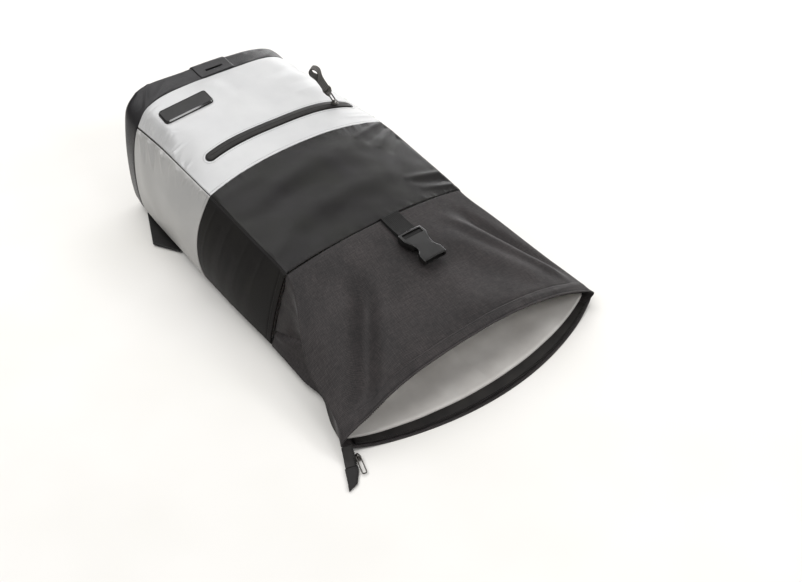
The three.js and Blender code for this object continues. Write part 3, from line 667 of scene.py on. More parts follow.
def slice_along(bm, axis, low, high, step):
    """Cuts a mesh into slices across x or y, so that it can follow a curved face."""
    normal = Vector((1, 0, 0)) if axis == 0 else Vector((0, 1, 0))
    count = int((high - low) / step)
    for i in range(1, count):
        at = normal * (low + (high - low) * i / count)
        bmesh.ops.bisect_plane(bm, geom=bm.verts[:] + bm.edges[:] + bm.faces[:], plane_co=at, plane_no=normal)


def join_into(bm, other, matrix=None):
    """Adds another bmesh to this one, and frees it."""
    if matrix:
        bmesh.ops.transform(other, matrix=matrix, verts=other.verts)
    spare = bpy.data.meshes.new("spare")
    other.to_mesh(spare)
    other.free()
    bm.from_mesh(spare)
    bpy.data.meshes.remove(spare)
    return bm


def wire(run, thickness, closed=False, sides=4):
    """A round wire along a run of points."""
    line = bpy.data.curves.new("wire", "CURVE")
    line.dimensions = "3D"
    line.bevel_depth = thickness / 2
    line.bevel_resolution = sides
    line.use_fill_caps = not closed
    spline = line.splines.new("POLY")
    spline.points.add(len(run) - 1)
    for point, place in zip(spline.points, run):
        point.co = (*place, 1.0)
    spline.use_cyclic_u = closed
    holder = bpy.data.objects.new("wire", line)
    bm = bmesh.new()
    mesh = bpy.data.meshes.new_from_object(holder)
    bm.from_mesh(mesh)
    bpy.data.objects.remove(holder)
    bpy.data.curves.remove(line)
    bpy.data.meshes.remove(mesh)
    bmesh.ops.remove_doubles(bm, verts=bm.verts, dist=0.001)
    bmesh.ops.recalc_face_normals(bm, faces=bm.faces)
    return bm


def pill(bm, turned, size):
    """A small long ball: a stitch, or a tooth of a zip's coil."""
    shape = turned @ Matrix.Diagonal((*size, 1.0))
    bmesh.ops.create_uvsphere(bm, u_segments=6, v_segments=4, radius=0.5, matrix=shape)


def stitch_row(bm, run, normals=None, pitch=3.4, length=2.5, width=0.6):
    """A row of stitches along a run of points, each dipping into the cloth at its ends. Without normals
    the row lies on level cloth."""
    normals = normals or [UP] * len(run)
    steps = even_run(run, pitch)
    for a, b in zip(steps, steps[1:]):
        nearest = min(range(len(run)), key=lambda k: (run[k] - a).length_squared)
        out = normals[nearest]
        along = (b - a).normalized()
        across = out.cross(along).normalized()
        pill(bm, axes_matrix((a + b) / 2, along, across, along.cross(across)), (length, width, width * 0.8))


def surface_row(point, steps):
    """Points and outward normals along a line on a surface: point(t, across) for t from 0 to 1."""
    run, normals = [], []
    for k in range(steps + 1):
        t = k / steps
        here = point(t, 0.0)
        along = point(min(1.0, t + 0.01), 0.0) - point(max(0.0, t - 0.01), 0.0)
        aside = point(t, 1.0) - point(t, -1.0)
        run.append(here)
        normals.append(along.cross(aside).normalized())
    return run, normals


def seam_puckers(seed, start, end, gap, reach, height, width, inward=1):
    """Short tapering wrinkles that leave a seam at an angle, at uneven steps along it. The seam is the
    line a = 0 of a flat panel, and the wrinkles run towards a > 0 (inward 1) or a < 0 (inward -1)."""
    chance = random.Random(seed)
    lines = []
    b = start + gap * chance.random()
    while b < end:
        long = reach * chance.uniform(0.45, 1.0)
        tall = height * chance.uniform(0.35, 1.0) * chance.choice((1, 1, -1))
        aside = b + long * chance.uniform(-0.35, 0.35)
        lines.append((0.0, b, inward * long, aside, tall, width * chance.uniform(0.7, 1.3)))
        b += gap * chance.uniform(0.6, 1.5)
    return lines


# Front, side and back panels of the bag

PANEL_THICK = 2.2
PANEL_EDGE_FADE = 5.0
FRONT_SLACK = 1.06
PUCKER_TAPER = 0.9
SEAM_TUCK = (0.7, 1.2)
FOLDED_EDGE = (0.45, 0.5)
PANEL_CROWD = (0.7, 0.55)


def tucked(away, edge):
    """How deep a panel's edge turns in at a distance from it, for a width and a depth of the turn."""
    width, depth = edge
    return depth * bell(max(0.0, away), width)


def front_panel(name, y0, y1, finish, node, columns, rows, details, edges=(SEAM_TUCK, SEAM_TUCK)):
    """A panel of the front face between two bands. details(x, y) adds its own folds."""

    def spot(u, v):
        y = y0 + (y1 - y0) * v
        half = section(y).half_front - SEAM
        return front_at(half * (2 * u - 1), y)

    def relief(u, v, place, normal):
        edge = section(place.y).half_front - SEAM - abs(place.x)
        tuck = max(tucked(place.y - y0, edges[0]), tucked(y1 - place.y, edges[1]), tucked(edge, SEAM_TUCK))
        return normal * (details(place.x, place.y) * ease(0.0, PANEL_EDGE_FADE, edge) - tuck)

    flat = (2 * section((y0 + y1) / 2).half_front * FRONT_SLACK, y1 - y0)
    bm = lay_cloth(columns, rows, flat, spot, relief, PANEL_CROWD)
    piece = thicken(keep_piece(bm, name, finish, [node], inside=LINING), PANEL_THICK)
    return piece


def side_panel(name, y0, y1, hand, finish, node, columns, rows, details, edges=(SEAM_TUCK, SEAM_TUCK)):
    """A panel of the bag's side between two bands. details(d, y) adds folds, with d the distance from
    the front seam."""
    deep = run_length([side_point(k / 20, (y0 + y1) / 2, 1) for k in range(21)])

    def down(u):
        t = u if hand > 0 else 1 - u
        return SEAM / deep + t * (1 - 2 * SEAM / deep)

    def spot(u, v):
        return side_point(down(u), y0 + (y1 - y0) * v, hand)

    def relief(u, v, place, normal):
        d = down(u) * deep
        edge = min(d, deep - d) - SEAM
        tuck = max(tucked(place.y - y0, edges[0]), tucked(y1 - place.y, edges[1]), tucked(edge, SEAM_TUCK))
        return normal * (details(d, place.y) * ease(0.0, PANEL_EDGE_FADE, edge) - tuck)

    bm = lay_cloth(columns, rows, (deep, y1 - y0), spot, relief, PANEL_CROWD)
    piece = thicken(keep_piece(bm, name, finish, [node], inside=LINING), PANEL_THICK)
    return piece


# Places of the trim on the front face
ZIP_AT = SimpleNamespace(x=8.8, y=213.0, length=237.6, width=15.0)
BADGE_AT = SimpleNamespace(x=-77.6, y=311.2, length=72.0, width=28.6, corner=5.0, turn=-0.1)
TAB_AT = SimpleNamespace(x=5.0, y=369.5, length=55.0, width=24.0)


def from_strip(x, y, at, turn=0.0):
    """Distance from a strip's outline, negative inside it. The strip's ends are half round."""
    dx, dy = x - at.x, y - at.y
    along = dx * math.cos(turn) + dy * math.sin(turn)
    across = -dx * math.sin(turn) + dy * math.cos(turn)
    straight = at.length / 2 - at.width / 2
    return math.hypot(max(0.0, abs(along) - straight), across) - at.width / 2


def from_plate(x, y, at):
    """Distance from a round-cornered plate's outline, negative inside it."""
    dx, dy = x - at.x, y - at.y
    along = abs(dx * math.cos(at.turn) + dy * math.sin(at.turn)) - at.length / 2 + at.corner
    across = abs(-dx * math.sin(at.turn) + dy * math.cos(at.turn)) - at.width / 2 + at.corner
    outside = math.hypot(max(along, 0.0), max(across, 0.0))
    return outside + min(max(along, across), 0.0) - at.corner


def flat_face(at):
    """The level and the two slopes of the flat face that fits the front best under a plate."""
    rows = [(i / 8 - 0.5, j / 4 - 0.5) for i in range(9) for j in range(5)]
    heights = [front_z(at.x + a * at.length, at.y + b * at.width) for a, b in rows]
    level = sum(heights) / len(heights)
    spread_x = sum((a * at.length) ** 2 for a, _ in rows)
    spread_y = sum((b * at.width) ** 2 for _, b in rows)
    slope_x = sum(a * at.length * z for (a, _), z in zip(rows, heights)) / spread_x
    slope_y = sum(b * at.width * z for (_, b), z in zip(rows, heights)) / spread_y
    return level, slope_x, slope_y


BADGE_LEVEL, BADGE_SLOPE_X, BADGE_SLOPE_Y = flat_face(BADGE_AT)
BADGE_DRAW = 46.0
BADGE_SEAM_FADE = 19.0


def badge_face_z(x, y):
    """Height of the flat face that the badge plate lies on."""
    return BADGE_LEVEL + BADGE_SLOPE_X * (x - BADGE_AT.x) + BADGE_SLOPE_Y * (y - BADGE_AT.y)


def front_at(x, y):
    """A place on the front as the cloth lies, drawn flat under the stiff badge plate."""
    z = front_z(x, y)
    held = 1 - ease(0.0, BADGE_DRAW, from_plate(x, y, BADGE_AT))
    held *= ease(0.0, BADGE_SEAM_FADE, section(y).half_front - abs(x))
    return Vector((x, y, z + held * (badge_face_z(x, y) - z)))


POCKET_LEFT_PUCKERS = (
    seam_puckers(11, 226, 352, 4.2, 18.0, 1.8, 1.6),
    seam_puckers(14, 262, 350, 11.0, 34.0, 1.3, 2.2),
    seam_puckers(12, 168, 236, 10.0, 12.0, 0.4, 2.0),
)
POCKET_RIGHT_PUCKERS = seam_puckers(13, 176, 352, 9.0, 60.0, 1.2, 3.4, inward=-1)
POCKET_SOFT_FOLDS = (
    (120, 262, 30, 250, 0.8, 6.0),
    (122, 282, 20, 268, -0.7, 7.0),
    (122, 300, 36, 288, 0.8, 7.0),
    (118, 322, 56, 306, -0.7, 6.0),
    (-124, 320, -104, 294, 0.7, 2.6),
    (-126, 300, -108, 280, -0.6, 2.4),
    (-122, 340, -110, 312, 0.7, 2.4),
)
EDGE_STITCH = 3.4
ZIP_LIFT = 0.5


def pocket_front_folds(x, y):
    """Puckers from both seams, soft folds, and a calm, sunk border round the zip."""
    half = section(y).half_front
    height = 0.0
    for puckers in POCKET_LEFT_PUCKERS:
        height += ripples(puckers, x + half, y, PUCKER_TAPER)
    height += ripples(POCKET_RIGHT_PUCKERS, x - half, y, PUCKER_TAPER)
    height += ripples(POCKET_SOFT_FOLDS, x, y, 0.6)
    height += 0.7 * drift(x, y, 3.0, 62.0) + 0.12 * drift(x, y, 9.0, 17.0)
    zip_away = from_strip(x, y, ZIP_AT)
    plate_away = from_plate(x, y, BADGE_AT)
    calm = ease(2.0, 16.0, min(zip_away, plate_away))
    welt = 0.4 * bell(zip_away - 1.8, 1.2)
    sunk = 1.3 * (1 - ease(-0.6, 0.7, zip_away))
    return height * (0.25 + 0.75 * calm) + welt - sunk


BODY_SOFT_FOLDS = (
    (139, 158, 78, 138, 1.8, 5.0),
    (139, 150, 88, 124, -1.8, 5.0),
    (139, 138, 96, 110, 1.8, 5.0),
    (139, 124, 104, 96, -1.4, 5.0),
    (139, 36, 88, 44, 1.8, 5.0),
    (139, 22, 92, 34, -1.6, 5.0),
    (139, 8, 96, 20, 1.6, 4.5),
    (-137, 150, -70, 138, 0.7, 9.0),
    (-138, 104, -84, 78, -0.7, 9.0),
    (-138, 30, -84, 52, 0.8, 10.0),
    (-60, 118, 50, 126, 1.8, 15.0),
    (-90, 92, 40, 96, -1.6, 16.0),
    (-40, 60, 66, 64, 1.8, 15.0),
    (-80, 30, 30, 34, -1.4, 16.0),
)
BODY_SEAM_PUCKERS = seam_puckers(21, -136, 136, 9.0, 14.0, 0.6, 2.4)
BODY_TOP_PUCKERS = seam_puckers(22, -136, 136, 10.0, 16.0, 0.6, 2.4, inward=-1)


def body_front_folds(x, y):
    """Puckers from the two seams across the bag, and soft folds between them."""
    height = ripples(BODY_SOFT_FOLDS, x, y, 0.7)
    height += ripples(BODY_SEAM_PUCKERS, y, x, PUCKER_TAPER)
    height += ripples(BODY_TOP_PUCKERS, y - BODY_TO, x, PUCKER_TAPER)
    return 1.5 * height + 1.6 * drift(x, y, 17.0, 76.0) + 0.6 * drift(x, y, 2.0, 24.0)


SIDE_FOLDS = (
    (3, 348, 24, 332, 1.0, 2.6),
    (3, 336, 30, 316, -0.9, 2.8),
    (4, 322, 26, 300, 1.1, 2.8),
    (3, 306, 30, 292, -0.8, 2.6),
    (3, 288, 22, 268, 0.9, 2.6),
    (4, 268, 26, 252, -0.7, 2.8),
    (4, 244, 20, 228, 0.6, 2.6),
    (30, 330, 90, 280, 0.7, 14.0),
    (40, 290, 100, 250, -0.6, 16.0),
    (50, 240, 110, 205, 0.5, 16.0),
)
SIDE_PUCKERS = seam_puckers(31, 172, 352, 4.6, 17.0, 1.1, 1.6)
SIDE_SWELL = SimpleNamespace(height=5.0, down=56.0, width=42.0, fade=50.0)


def pocket_side_folds(d, y):
    """Folds and puckers below the front seam, over the swell of a filled pocket."""
    height = ripples(SIDE_FOLDS, d, y, 0.6) + ripples(SIDE_PUCKERS, d, y, PUCKER_TAPER)
    at = SIDE_SWELL
    along = ease(BODY_TO, BODY_TO + at.fade, y)
    swell = at.height * bell(d - at.down, at.width) * along * (1 - ease(POCKET_TO - at.fade, POCKET_TO, y))
    return 2.1 * height + 1.2 * drift(d, y, 31.0, 52.0) + swell


BODY_SIDE_FOLDS = (
    (4, 142, 90, 152, 0.4, 2.6),
    (20, 124, 120, 138, -0.6, 7.0),
    (4, 108, 70, 116, 0.4, 2.4),
    (40, 92, 130, 112, -0.5, 6.0),
    (4, 72, 80, 84, 0.5, 2.6),
    (24, 52, 126, 74, -0.6, 7.0),
    (4, 42, 60, 50, 0.4, 2.2),
)
SIDE_HEM = 8.5


def body_side_folds(d, y):
    """Soft folds along the bag, and the stitched hem next to the roll-top."""
    hem = 1.2 * (1 - ease(SIDE_HEM, SIDE_HEM + 1.4, y)) - 0.7 * bell(y - SIDE_HEM - 1.8, 1.1)
    return ripples(BODY_SIDE_FOLDS, d, y, 0.5) + 0.9 * drift(d, y, 41.0, 58.0) + hem


SILVER_EDGES = (FOLDED_EDGE, FOLDED_EDGE)
SILVER_FROM, SILVER_TO = BODY_TO - 0.7, POCKET_TO
BODY_FROM, BODY_END = ROLL_TO + SEAM, BODY_TO - 0.2
front_panel(
    "pocket_front_cloth", SILVER_FROM, SILVER_TO, SILVER, "pocket_front", 190, 176, pocket_front_folds,
    SILVER_EDGES,
)
front_panel("body_front_cloth", BODY_FROM, BODY_END, BODY_NYLON, "body_front", 170, 120, body_front_folds)
for side, hand in SIDES:
    side_panel(
        f"pocket_side_{side}_cloth", SILVER_FROM, SILVER_TO, hand, SILVER_SIDE_PAINTED_SHADE, f"pocket_side_{side}",
        84, 132, pocket_side_folds, SILVER_EDGES,
    )
    side_panel(
        f"body_side_{side}_cloth", BODY_FROM, BODY_END, hand, BODY_SIDE_NYLON_PAINTED_SHADE, f"body_side_{side}", 72, 104,
        body_side_folds,
    )


BACK_WIDTH = 320.0
BACK_THICK = 7.6
BACK_CHANNEL = SimpleNamespace(x=46.0, width=4.0, depth=1.6)
BACK_CROWN, BACK_RIM = 2.2, 9.0


def back_pad():
    """The padded back, a foam panel under spacer mesh with two pressed channels."""
    low, high = ROLL_TO + SEAM, POCKET_TO - SEAM

    def spot(u, v):
        return back_point(1 - 2 * u, low + (high - low) * v)

    def relief(u, v, place, normal):
        half = section(place.y).half_back
        edge = min(half - abs(place.x), place.y - low, high - place.y)
        channel = BACK_CHANNEL.depth * bell(abs(place.x) - BACK_CHANNEL.x, BACK_CHANNEL.width)
        crown = 1.0 - ease(0.0, BACK_RIM, edge)
        return UP * (BACK_CROWN * crown + channel * ease(4.0, 20.0, edge))

    flat = (BACK_WIDTH, high - low)
    bm = lay_cloth(110, 120, flat, spot, relief)
    piece = thicken(keep_piece(bm, "back_panel_pad", AIR_MESH, ["back_panel"], inside=LINING), BACK_THICK)
    return piece


back_pad()

# Base cup: a band round the bag that turns over a soft edge into the flat end

BASE_ROUND = 10.0
BASE_CAP = 86.0
BASE_CAP_Z = 95.0
BASE_HALF_X, BASE_HALF_Z = 135.0, 84.0
BASE_FRONT_ABOVE = 120
BASE_BLANK = 880.0
BASE_CORNER = SimpleNamespace(reach=20, rounds=16, first=2, step=1.2)
TAB_SLOT_HALF = 14.0
BASE_COUNTS = (120, 44, 70, 44)
BASE_WRINKLES = (
    (-112, 360, -92, 386, 1.0, 3.2),
    (-98, 358, -70, 378, -1.1, 3.4),
    (-80, 358, -46, 372, 1.2, 3.6),
    (-60, 364, -34, 382, -0.9, 3.4),
    (42, 360, 62, 378, 1.1, 3.6),
    (60, 358, 88, 380, -1.1, 4.0),
    (84, 358, 110, 376, 1.0, 4.0),
)
CAP_FOLDS = (
    (-124, 128, -62, 104, 1.3, 5.0),
    (-122, 150, -84, 118, -1.1, 5.0),
    (-128, 40, -76, 66, 1.2, 6.0),
    (126, 132, 70, 108, 1.2, 5.0),
    (118, 152, 86, 122, -1.0, 4.5),
    (128, 36, 82, 60, 1.1, 6.0),
    (-40, 22, 30, 34, 0.9, 7.0),
    (-30, 158, 36, 148, -0.9, 6.0),
)


def ring_place(counts, at, y):
    """A place on the closed section: front from left to right, down the right side, back, up the left."""
    at %= sum(counts)
    if at <= counts[0]:
        return front_point(at / counts[0], y)
    at -= counts[0]
    if at <= counts[1]:
        return side_point(at / counts[1], y, 1)
    at -= counts[1]
    if at <= counts[2]:
        return back_point(1 - 2 * at / counts[2], y)
    at -= counts[2]
    return side_point(1 - min(1.0, at / counts[3]), y, -1)


def ring_steps(counts, u):
    """Steps along the section for u from 0 to 1, which starts and ends at the middle of the back."""
    return u * sum(counts) + counts[0] + counts[1] + counts[2] / 2


def ring_point(counts, u, y):
    """A place on the closed section for u from 0 to 1."""
    return ring_place(counts, ring_steps(counts, u), y)


def base_cup():
    """The band, its round and the flat end in one sheet that is gathered to a point in the middle."""
    low = POCKET_TO + SEAM
    straight = BASE_TO - BASE_ROUND - low
    arc = BASE_ROUND * math.pi / 2
    bent = straight + arc
    total = bent + BASE_CAP

    def spot(u, v):
        run = v * total
        if run <= straight:
            return ring_point(BASE_COUNTS, u, low + run)
        turn = min(1.0, (run - straight) / arc) * math.pi / 2
        inset = BASE_ROUND * (1 - math.cos(turn))
        y = BASE_TO - BASE_ROUND + BASE_ROUND * math.sin(turn)
        rim = ring_point(BASE_COUNTS, u, BASE_TO - BASE_ROUND)
        shrink = max(0.0, 1 - max(0.0, run - straight - arc) / BASE_CAP)
        x = rim.x * (1 - inset / BASE_HALF_X) * shrink
        z = BASE_CAP_Z + (rim.z - BASE_CAP_Z) * (1 - inset / BASE_HALF_Z) * shrink
        return Vector((x, y, z))

    def relief(u, v, place, normal):
        run = v * total
        on_front = place.z > BASE_FRONT_ABOVE
        pinch = tucked(run, SEAM_TUCK)
        fade = ease(0.0, 8.0, run) * (1 - ease(bent, bent + 30, run))
        folds = ripples(BASE_WRINKLES, place.x, place.y) if on_front else 0.0
        folds += 0.7 * drift(place.x, place.y, place.z, 40.0)
        cap_fade = ease(bent - 4, bent + 12, run) * (1 - ease(total - 16, total - 4, run))
        cap_folds = ripples(CAP_FOLDS, place.x, place.z, 0.6) + 1.6 * drift(place.x, 9.0, place.z, 54.0)
        slot_away = max(abs(place.x - TAB_AT.x) - TAB_SLOT_HALF, abs(place.y - TAB_AT.y) - 1.2)
        slot = 1.6 * (1 - ease(0.0, 1.6, slot_away)) if on_front else 0.0
        return normal * (folds * fade + cap_folds * cap_fade - pinch - slot)

    bm = lay_cloth(sum(BASE_COUNTS), 64, (BASE_BLANK, total), spot, relief)
    laid = bm.loops.layers.uv[CLOTH_UV]
    for face in bm.faces:
        if face.calc_center_median().y > BASE_TO - 1.5:
            for loop in face.loops:
                loop[laid].uv = (loop.vert.co.x, loop.vert.co.z)
    bmesh.ops.remove_doubles(bm, verts=bm.verts, dist=0.02)
    at = BASE_CORNER
    near_corner = [
        v for v in bm.verts if abs(abs(v.co.x) - section(min(v.co.y, BASE_TO)).half_front) < at.reach
    ]
    for k in range(at.rounds):
        far = [v for v in near_corner if v.co.y > POCKET_TO + at.first + at.step * k]
        bmesh.ops.smooth_vert(bm, verts=far, factor=0.5, use_axis_x=True, use_axis_z=True)
    cup = keep_piece(bm, "base_cup_cloth", BASE_NYLON, ["base_panel"], inside=LINING)
    piece = thicken(cup, PANEL_THICK)
    return piece


base_cup()

# Unrolled top: a tube of soft cloth with hemmed lips and tucked sides

ROLL_COUNTS = (176, 42, 100, 42)
ROLL_ROWS = 100
ROLL_CROWD = 0.72
ROLL_FLAT = (980.0, ROLL_TO - SEAM - ROLL_FROM)
ROLL_THICK = 1.7
ROLL_FOLD = SimpleNamespace(share=0.88, rounds=10, all_rounds=8, lip_y=-182, step=1.2)
HEM = 14.0
GUSSET_DEPTH = 105.0
LINING_FROM_LIP = 13.0
LINING_THICK = 0.6
LINING_DEPTH, LINING_SLACK, LINING_LIP_DEPTH = 2.4, 0.6, 1.6
LIP_CREASES = (
    (85, -181, 137, -184, 1.0, 4.0),
    (137, -184, 198, -176, 1.2, 4.0),
    (-150, -170, -188, -182, 0.9, 4.5),
    (40, -168, 120, -172, 0.7, 5.0),
)
GUSSET_CREASES = (
    (82, -3, 62, -46, -4.2, 2.8),
    (40, -40, 30, -120, 2.4, 7.0),
    (60, -30, 52, -110, -2.2, 7.0),
    (26, -4, 30, -60, 1.8, 4.0),
    (84, -2, 78, -70, 1.6, 5.0),
)


def roll_part(u):
    """Which part of the tube a place is on, and how far across it."""
    at = ring_steps(ROLL_COUNTS, u) % sum(ROLL_COUNTS)
    for part, count in zip(("front", "right", "back", "left"), ROLL_COUNTS):
        if at <= count:
            return part, at / count
        at -= count
    return "left", 1.0


def roll_point(u, v):
    """A place on the tube before its folds."""
    return ring_point(ROLL_COUNTS, u, ROLL_FROM + ROLL_FLAT[1] * v)


def roll_relief(u, v, place, normal):
    """Hems and creases at the lips, creases in the tucked sides, and the pinch at the seam."""
    part, w = roll_part(u)
    from_lip = v * ROLL_FLAT[1]
    y = ROLL_FROM + from_lip
    height = -tucked(ROLL_TO - SEAM - y, SEAM_TUCK)
    height += 0.6 * drift(place.x, place.y, place.z, 55.0) + 0.25 * drift(place.x, place.y, place.z, 15.0)
    if part in ("front", "back"):
        height += 1.0 * (1 - ease(HEM - 0.6, HEM + 0.6, from_lip)) - 0.6 * bell(from_lip - HEM - 0.8, 0.9)
        height -= 0.5 * bell(from_lip - 2.6, 0.9)
    if part == "front":
        height += ripples(LIP_CREASES, place.x, place.y, 0.3) * ease(2.0, 9.0, from_lip)
    if part in ("left", "right"):
        d = (w if part == "right" else 1 - w) * GUSSET_DEPTH
        height += ripples(GUSSET_CREASES, d, y, 0.3)
        height -= 3.0 * bell(ROLL_TO - y, 14.0) * ease(4.0, 14.0, d) * (1 - ease(86.0, 102.0, d))
    return normal * height


def round_folds(bm):
    """Softens the tube's upper folded edges, where the front turns into the sides."""
    folded = []
    for vert in bm.verts:
        s = section(max(ROLL_FROM, min(ROLL_TO, vert.co.y)))
        high = s.back_z + 0.5 * (s.seam_z - s.back_z)
        if not vert.is_boundary and abs(vert.co.x) > ROLL_FOLD.share * s.half_front and vert.co.z > high:
            folded.append(vert)
    for k in range(ROLL_FOLD.rounds):
        lip = ROLL_FOLD.lip_y + ROLL_FOLD.step * k
        far = [v for v in folded if v.co.y > lip or k < ROLL_FOLD.all_rounds]
        bmesh.ops.smooth_vert(bm, verts=far, factor=0.5, use_axis_x=True, use_axis_z=True)


def roll_tube():
    """The shell of the unrolled top, and the lining that is copied from it."""
    bm = lay_cloth(sum(ROLL_COUNTS), ROLL_ROWS, ROLL_FLAT, roll_point, roll_relief, (0.0, ROLL_CROWD))
    bmesh.ops.remove_doubles(bm, verts=bm.verts, dist=0.02)
    round_folds(bm)
    lining = bm.copy()
    piece = thicken(keep_piece(bm, "roll_top_cloth", ROLL_WEAVE, ["roll_top"]), ROLL_THICK)
    lining_tube(lining)


def lining_tube(bm):
    """The lining inside the unrolled top: the shell again, drawn inwards. It stops short of the lips and
    of the folded edges, where the shell's own two layers lie on each other."""
    laid = bm.loops.layers.uv[CLOTH_UV]
    shell = BVHTree.FromBMesh(bm)
    bm.normal_update()
    moves, thin = [], set()
    for vert in bm.verts:
        from_lip = min(loop[laid].uv.y for loop in vert.link_loops)
        slack = LINING_SLACK + LINING_SLACK * drift(vert.co.x, vert.co.y, vert.co.z + 90, 26.0)
        depth = LINING_DEPTH + slack + LINING_LIP_DEPTH * (1 - ease(20.0, 44.0, from_lip))
        room = shell.ray_cast(vert.co - vert.normal * 0.4, -vert.normal)[3]
        if from_lip < LINING_FROM_LIP or (room is not None and room < 3 * depth):
            thin.add(vert)
        moves.append(vert.normal * -depth)
    for vert, move in zip(bm.verts, moves):
        vert.co += move
    bmesh.ops.delete(bm, geom=[f for f in bm.faces if thin.intersection(f.verts)], context="FACES")
    piece = thicken(keep_piece(bm, "roll_lining_cloth", LINING, ["roll_lining"]), LINING_THICK)


roll_tube()

# Zip along the two lips: a tape inside each, with its half of the coil at the lip's edge

TAPE_DEPTH = 2.4
TAPE_SHARES = (0.03, 0.97)
TAPE_ROWS = (ROLL_FROM + 2.5, -171.0)
TAPE_BLANK = 400.0
COIL_ROW = ROLL_FROM + 3.0
COIL_LIFT = 1.9
COIL_PITCH = 2.6
LIP_TOOTH = (4.4, 1.5, 1.7)
TAIL_TOOTH = (3.8, 1.5, 1.6)


def lip_row(part, w, y, depth):
    """A place on the inside of a lip, w from 0 to 1 across it, at a depth under the outer face."""
    counts = ROLL_COUNTS
    first = 0 if part == "front" else counts[0] + counts[1]
    span = counts[0] if part == "front" else counts[2]

    def at(share, row):
        return ring_place(counts, first + span * share, row)

    here = at(w, y)
    along = at(min(1.0, w + 0.004), y) - at(max(0.0, w - 0.004), y)
    deep = at(w, y + 2.0) - at(w, y)
    out = along.cross(deep).normalized()
    return here - out * depth, along.normalized(), out


def lip_zip(part, node, columns):
    """One tape and its half of the coil, slanted teeth at even steps."""
    low, high = TAPE_ROWS
    first, last = TAPE_SHARES

    def spot(u, v):
        return lip_row(part, first + (last - first) * u, low + (high - low) * v, TAPE_DEPTH)[0]

    bm = lay_cloth(columns, 8, (TAPE_BLANK, high - low), spot)
    tape = thicken(keep_piece(bm, f"{node}_cloth", ZIP_TAPE, [node]), 1.0)
    length = run_length([spot(k / 200, 0.5) for k in range(201)])
    width = run_length([spot(0.5, k / 16) for k in range(17)])
    depth = TAPE_DEPTH + COIL_LIFT
    run = [lip_row(part, first + (last - first) * k / 400, COIL_ROW, depth) for k in range(401)]
    teeth = bmesh.new()
    steps = even_run([place for place, _, _ in run], COIL_PITCH)
    for place in steps:
        nearest = min(run, key=lambda row: (row[0] - place).length_squared)
        along, out = nearest[1], nearest[2]
        across = out.cross(along)
        slant = (across + 0.35 * along).normalized()
        pill(teeth, axes_matrix(place, slant, out.cross(slant), out), LIP_TOOTH)
    keep_piece(teeth, f"{node}_coil", ZIP_TAPE, sharp=60.0)


lip_zip("front", "mouth_zip_front_tape", 150)
lip_zip("back", "mouth_zip_back_tape", 150)

# Trim on the front face

# Steps from a plate's rim inwards: how wide each is, and how far it rises
BADGE_RIM = (1.3, 1.9)
BADGE_STEPS = ((0.5, 0.1), (0.5, -0.5), (0.4, 0.0))
ZIP_STEPS = ((1.5, -0.4), (0.4, 1.2), (0.8, 0.4))
ZIP_GROOVE = SimpleNamespace(half=0.5, depth=0.5, end=6)


def inset_steps(bm, face, steps):
    """Insets a face step by step and gives back the faces round the last step."""
    for wide, rise in steps:
        rim = bmesh.ops.inset_region(bm, faces=[face], thickness=wide, depth=rise)["faces"]
    return rim


def onto_front(bm, at, turn, height):
    """Lays a mesh made flat about the origin onto a face whose height is given for x and y."""
    c, s = math.cos(turn), math.sin(turn)
    for vert in bm.verts:
        x = at.x + vert.co.x * c - vert.co.y * s
        y = at.y + vert.co.x * s + vert.co.y * c
        vert.co = Vector((x, y, height(x, y) + vert.co.z))


def badge_plate():
    """A stiff rubber plate: a polished slanted rim, small steps inside it and a bare blasted face."""
    at = BADGE_AT
    bm = plate(round_rectangle(at.length, at.width, at.corner), -1.6, 2.2)
    top = max(bm.faces, key=lambda face: face.calc_center_median().z)
    for face in inset_steps(bm, top, [BADGE_RIM]):
        face.material_index = 1
    inset_steps(bm, top, BADGE_STEPS)
    onto_front(bm, at, at.turn, badge_face_z)
    keep_piece(bm, "badge_plate_rubber", RUBBER, ["badge_plate"], sharp=24.0, inside=RUBBER_EDGE)


def pocket_zip():
    """The coated zip: a sunk border, two flat tapes and the groove where they meet."""
    at = ZIP_AT
    bm = plate(round_rectangle(at.length + 1.0, at.width + 1.2, at.width / 2 + 0.2, segments=10), -2.2, -0.4)
    top = max(bm.faces, key=lambda face: face.calc_center_median().z)
    inset_steps(bm, top, ZIP_STEPS)
    slice_along(bm, 0, -at.length / 2, at.length / 2, 2.6)
    for y in (-ZIP_GROOVE.half, 0.0, ZIP_GROOVE.half):
        bmesh.ops.bisect_plane(
            bm, geom=bm.verts[:] + bm.edges[:] + bm.faces[:], plane_co=(0, y, 0), plane_no=(0, 1, 0),
        )
    for vert in bm.verts:
        if vert.co.z > 0.3 and abs(vert.co.y) < 0.1 and abs(vert.co.x) < at.length / 2 - ZIP_GROOVE.end:
            vert.co.z -= ZIP_GROOVE.depth
    onto_front(bm, at, 0.0, lambda x, y: front_z(x, y) + ZIP_LIFT)
    keep_piece(bm, "pocket_zip_tape", ZIP_TAPE, ["pocket_zip"], sharp=30.0)
    out = 2 * EDGE_STITCH
    border = round_rectangle(at.length + out, at.width + out, (at.width + out) / 2 - 0.5, segments=10)
    run = []
    for (x0, y0), (x1, y1) in zip(border, border[1:] + border[:1]):
        count = max(1, round(math.hypot(x1 - x0, y1 - y0) / 4.0))
        for k in range(count):
            x, y = at.x + x0 + (x1 - x0) * k / count, at.y + y0 + (y1 - y0) * k / count
            run.append(front_at(x, y) + Vector((0, 0, 0.2)))
    stitches = bmesh.new()
    stitch_row(stitches, run + run[:1], pitch=3.0, length=2.8, width=0.5)
    keep_piece(stitches, "pocket_zip_stitches", GREY_THREAD)


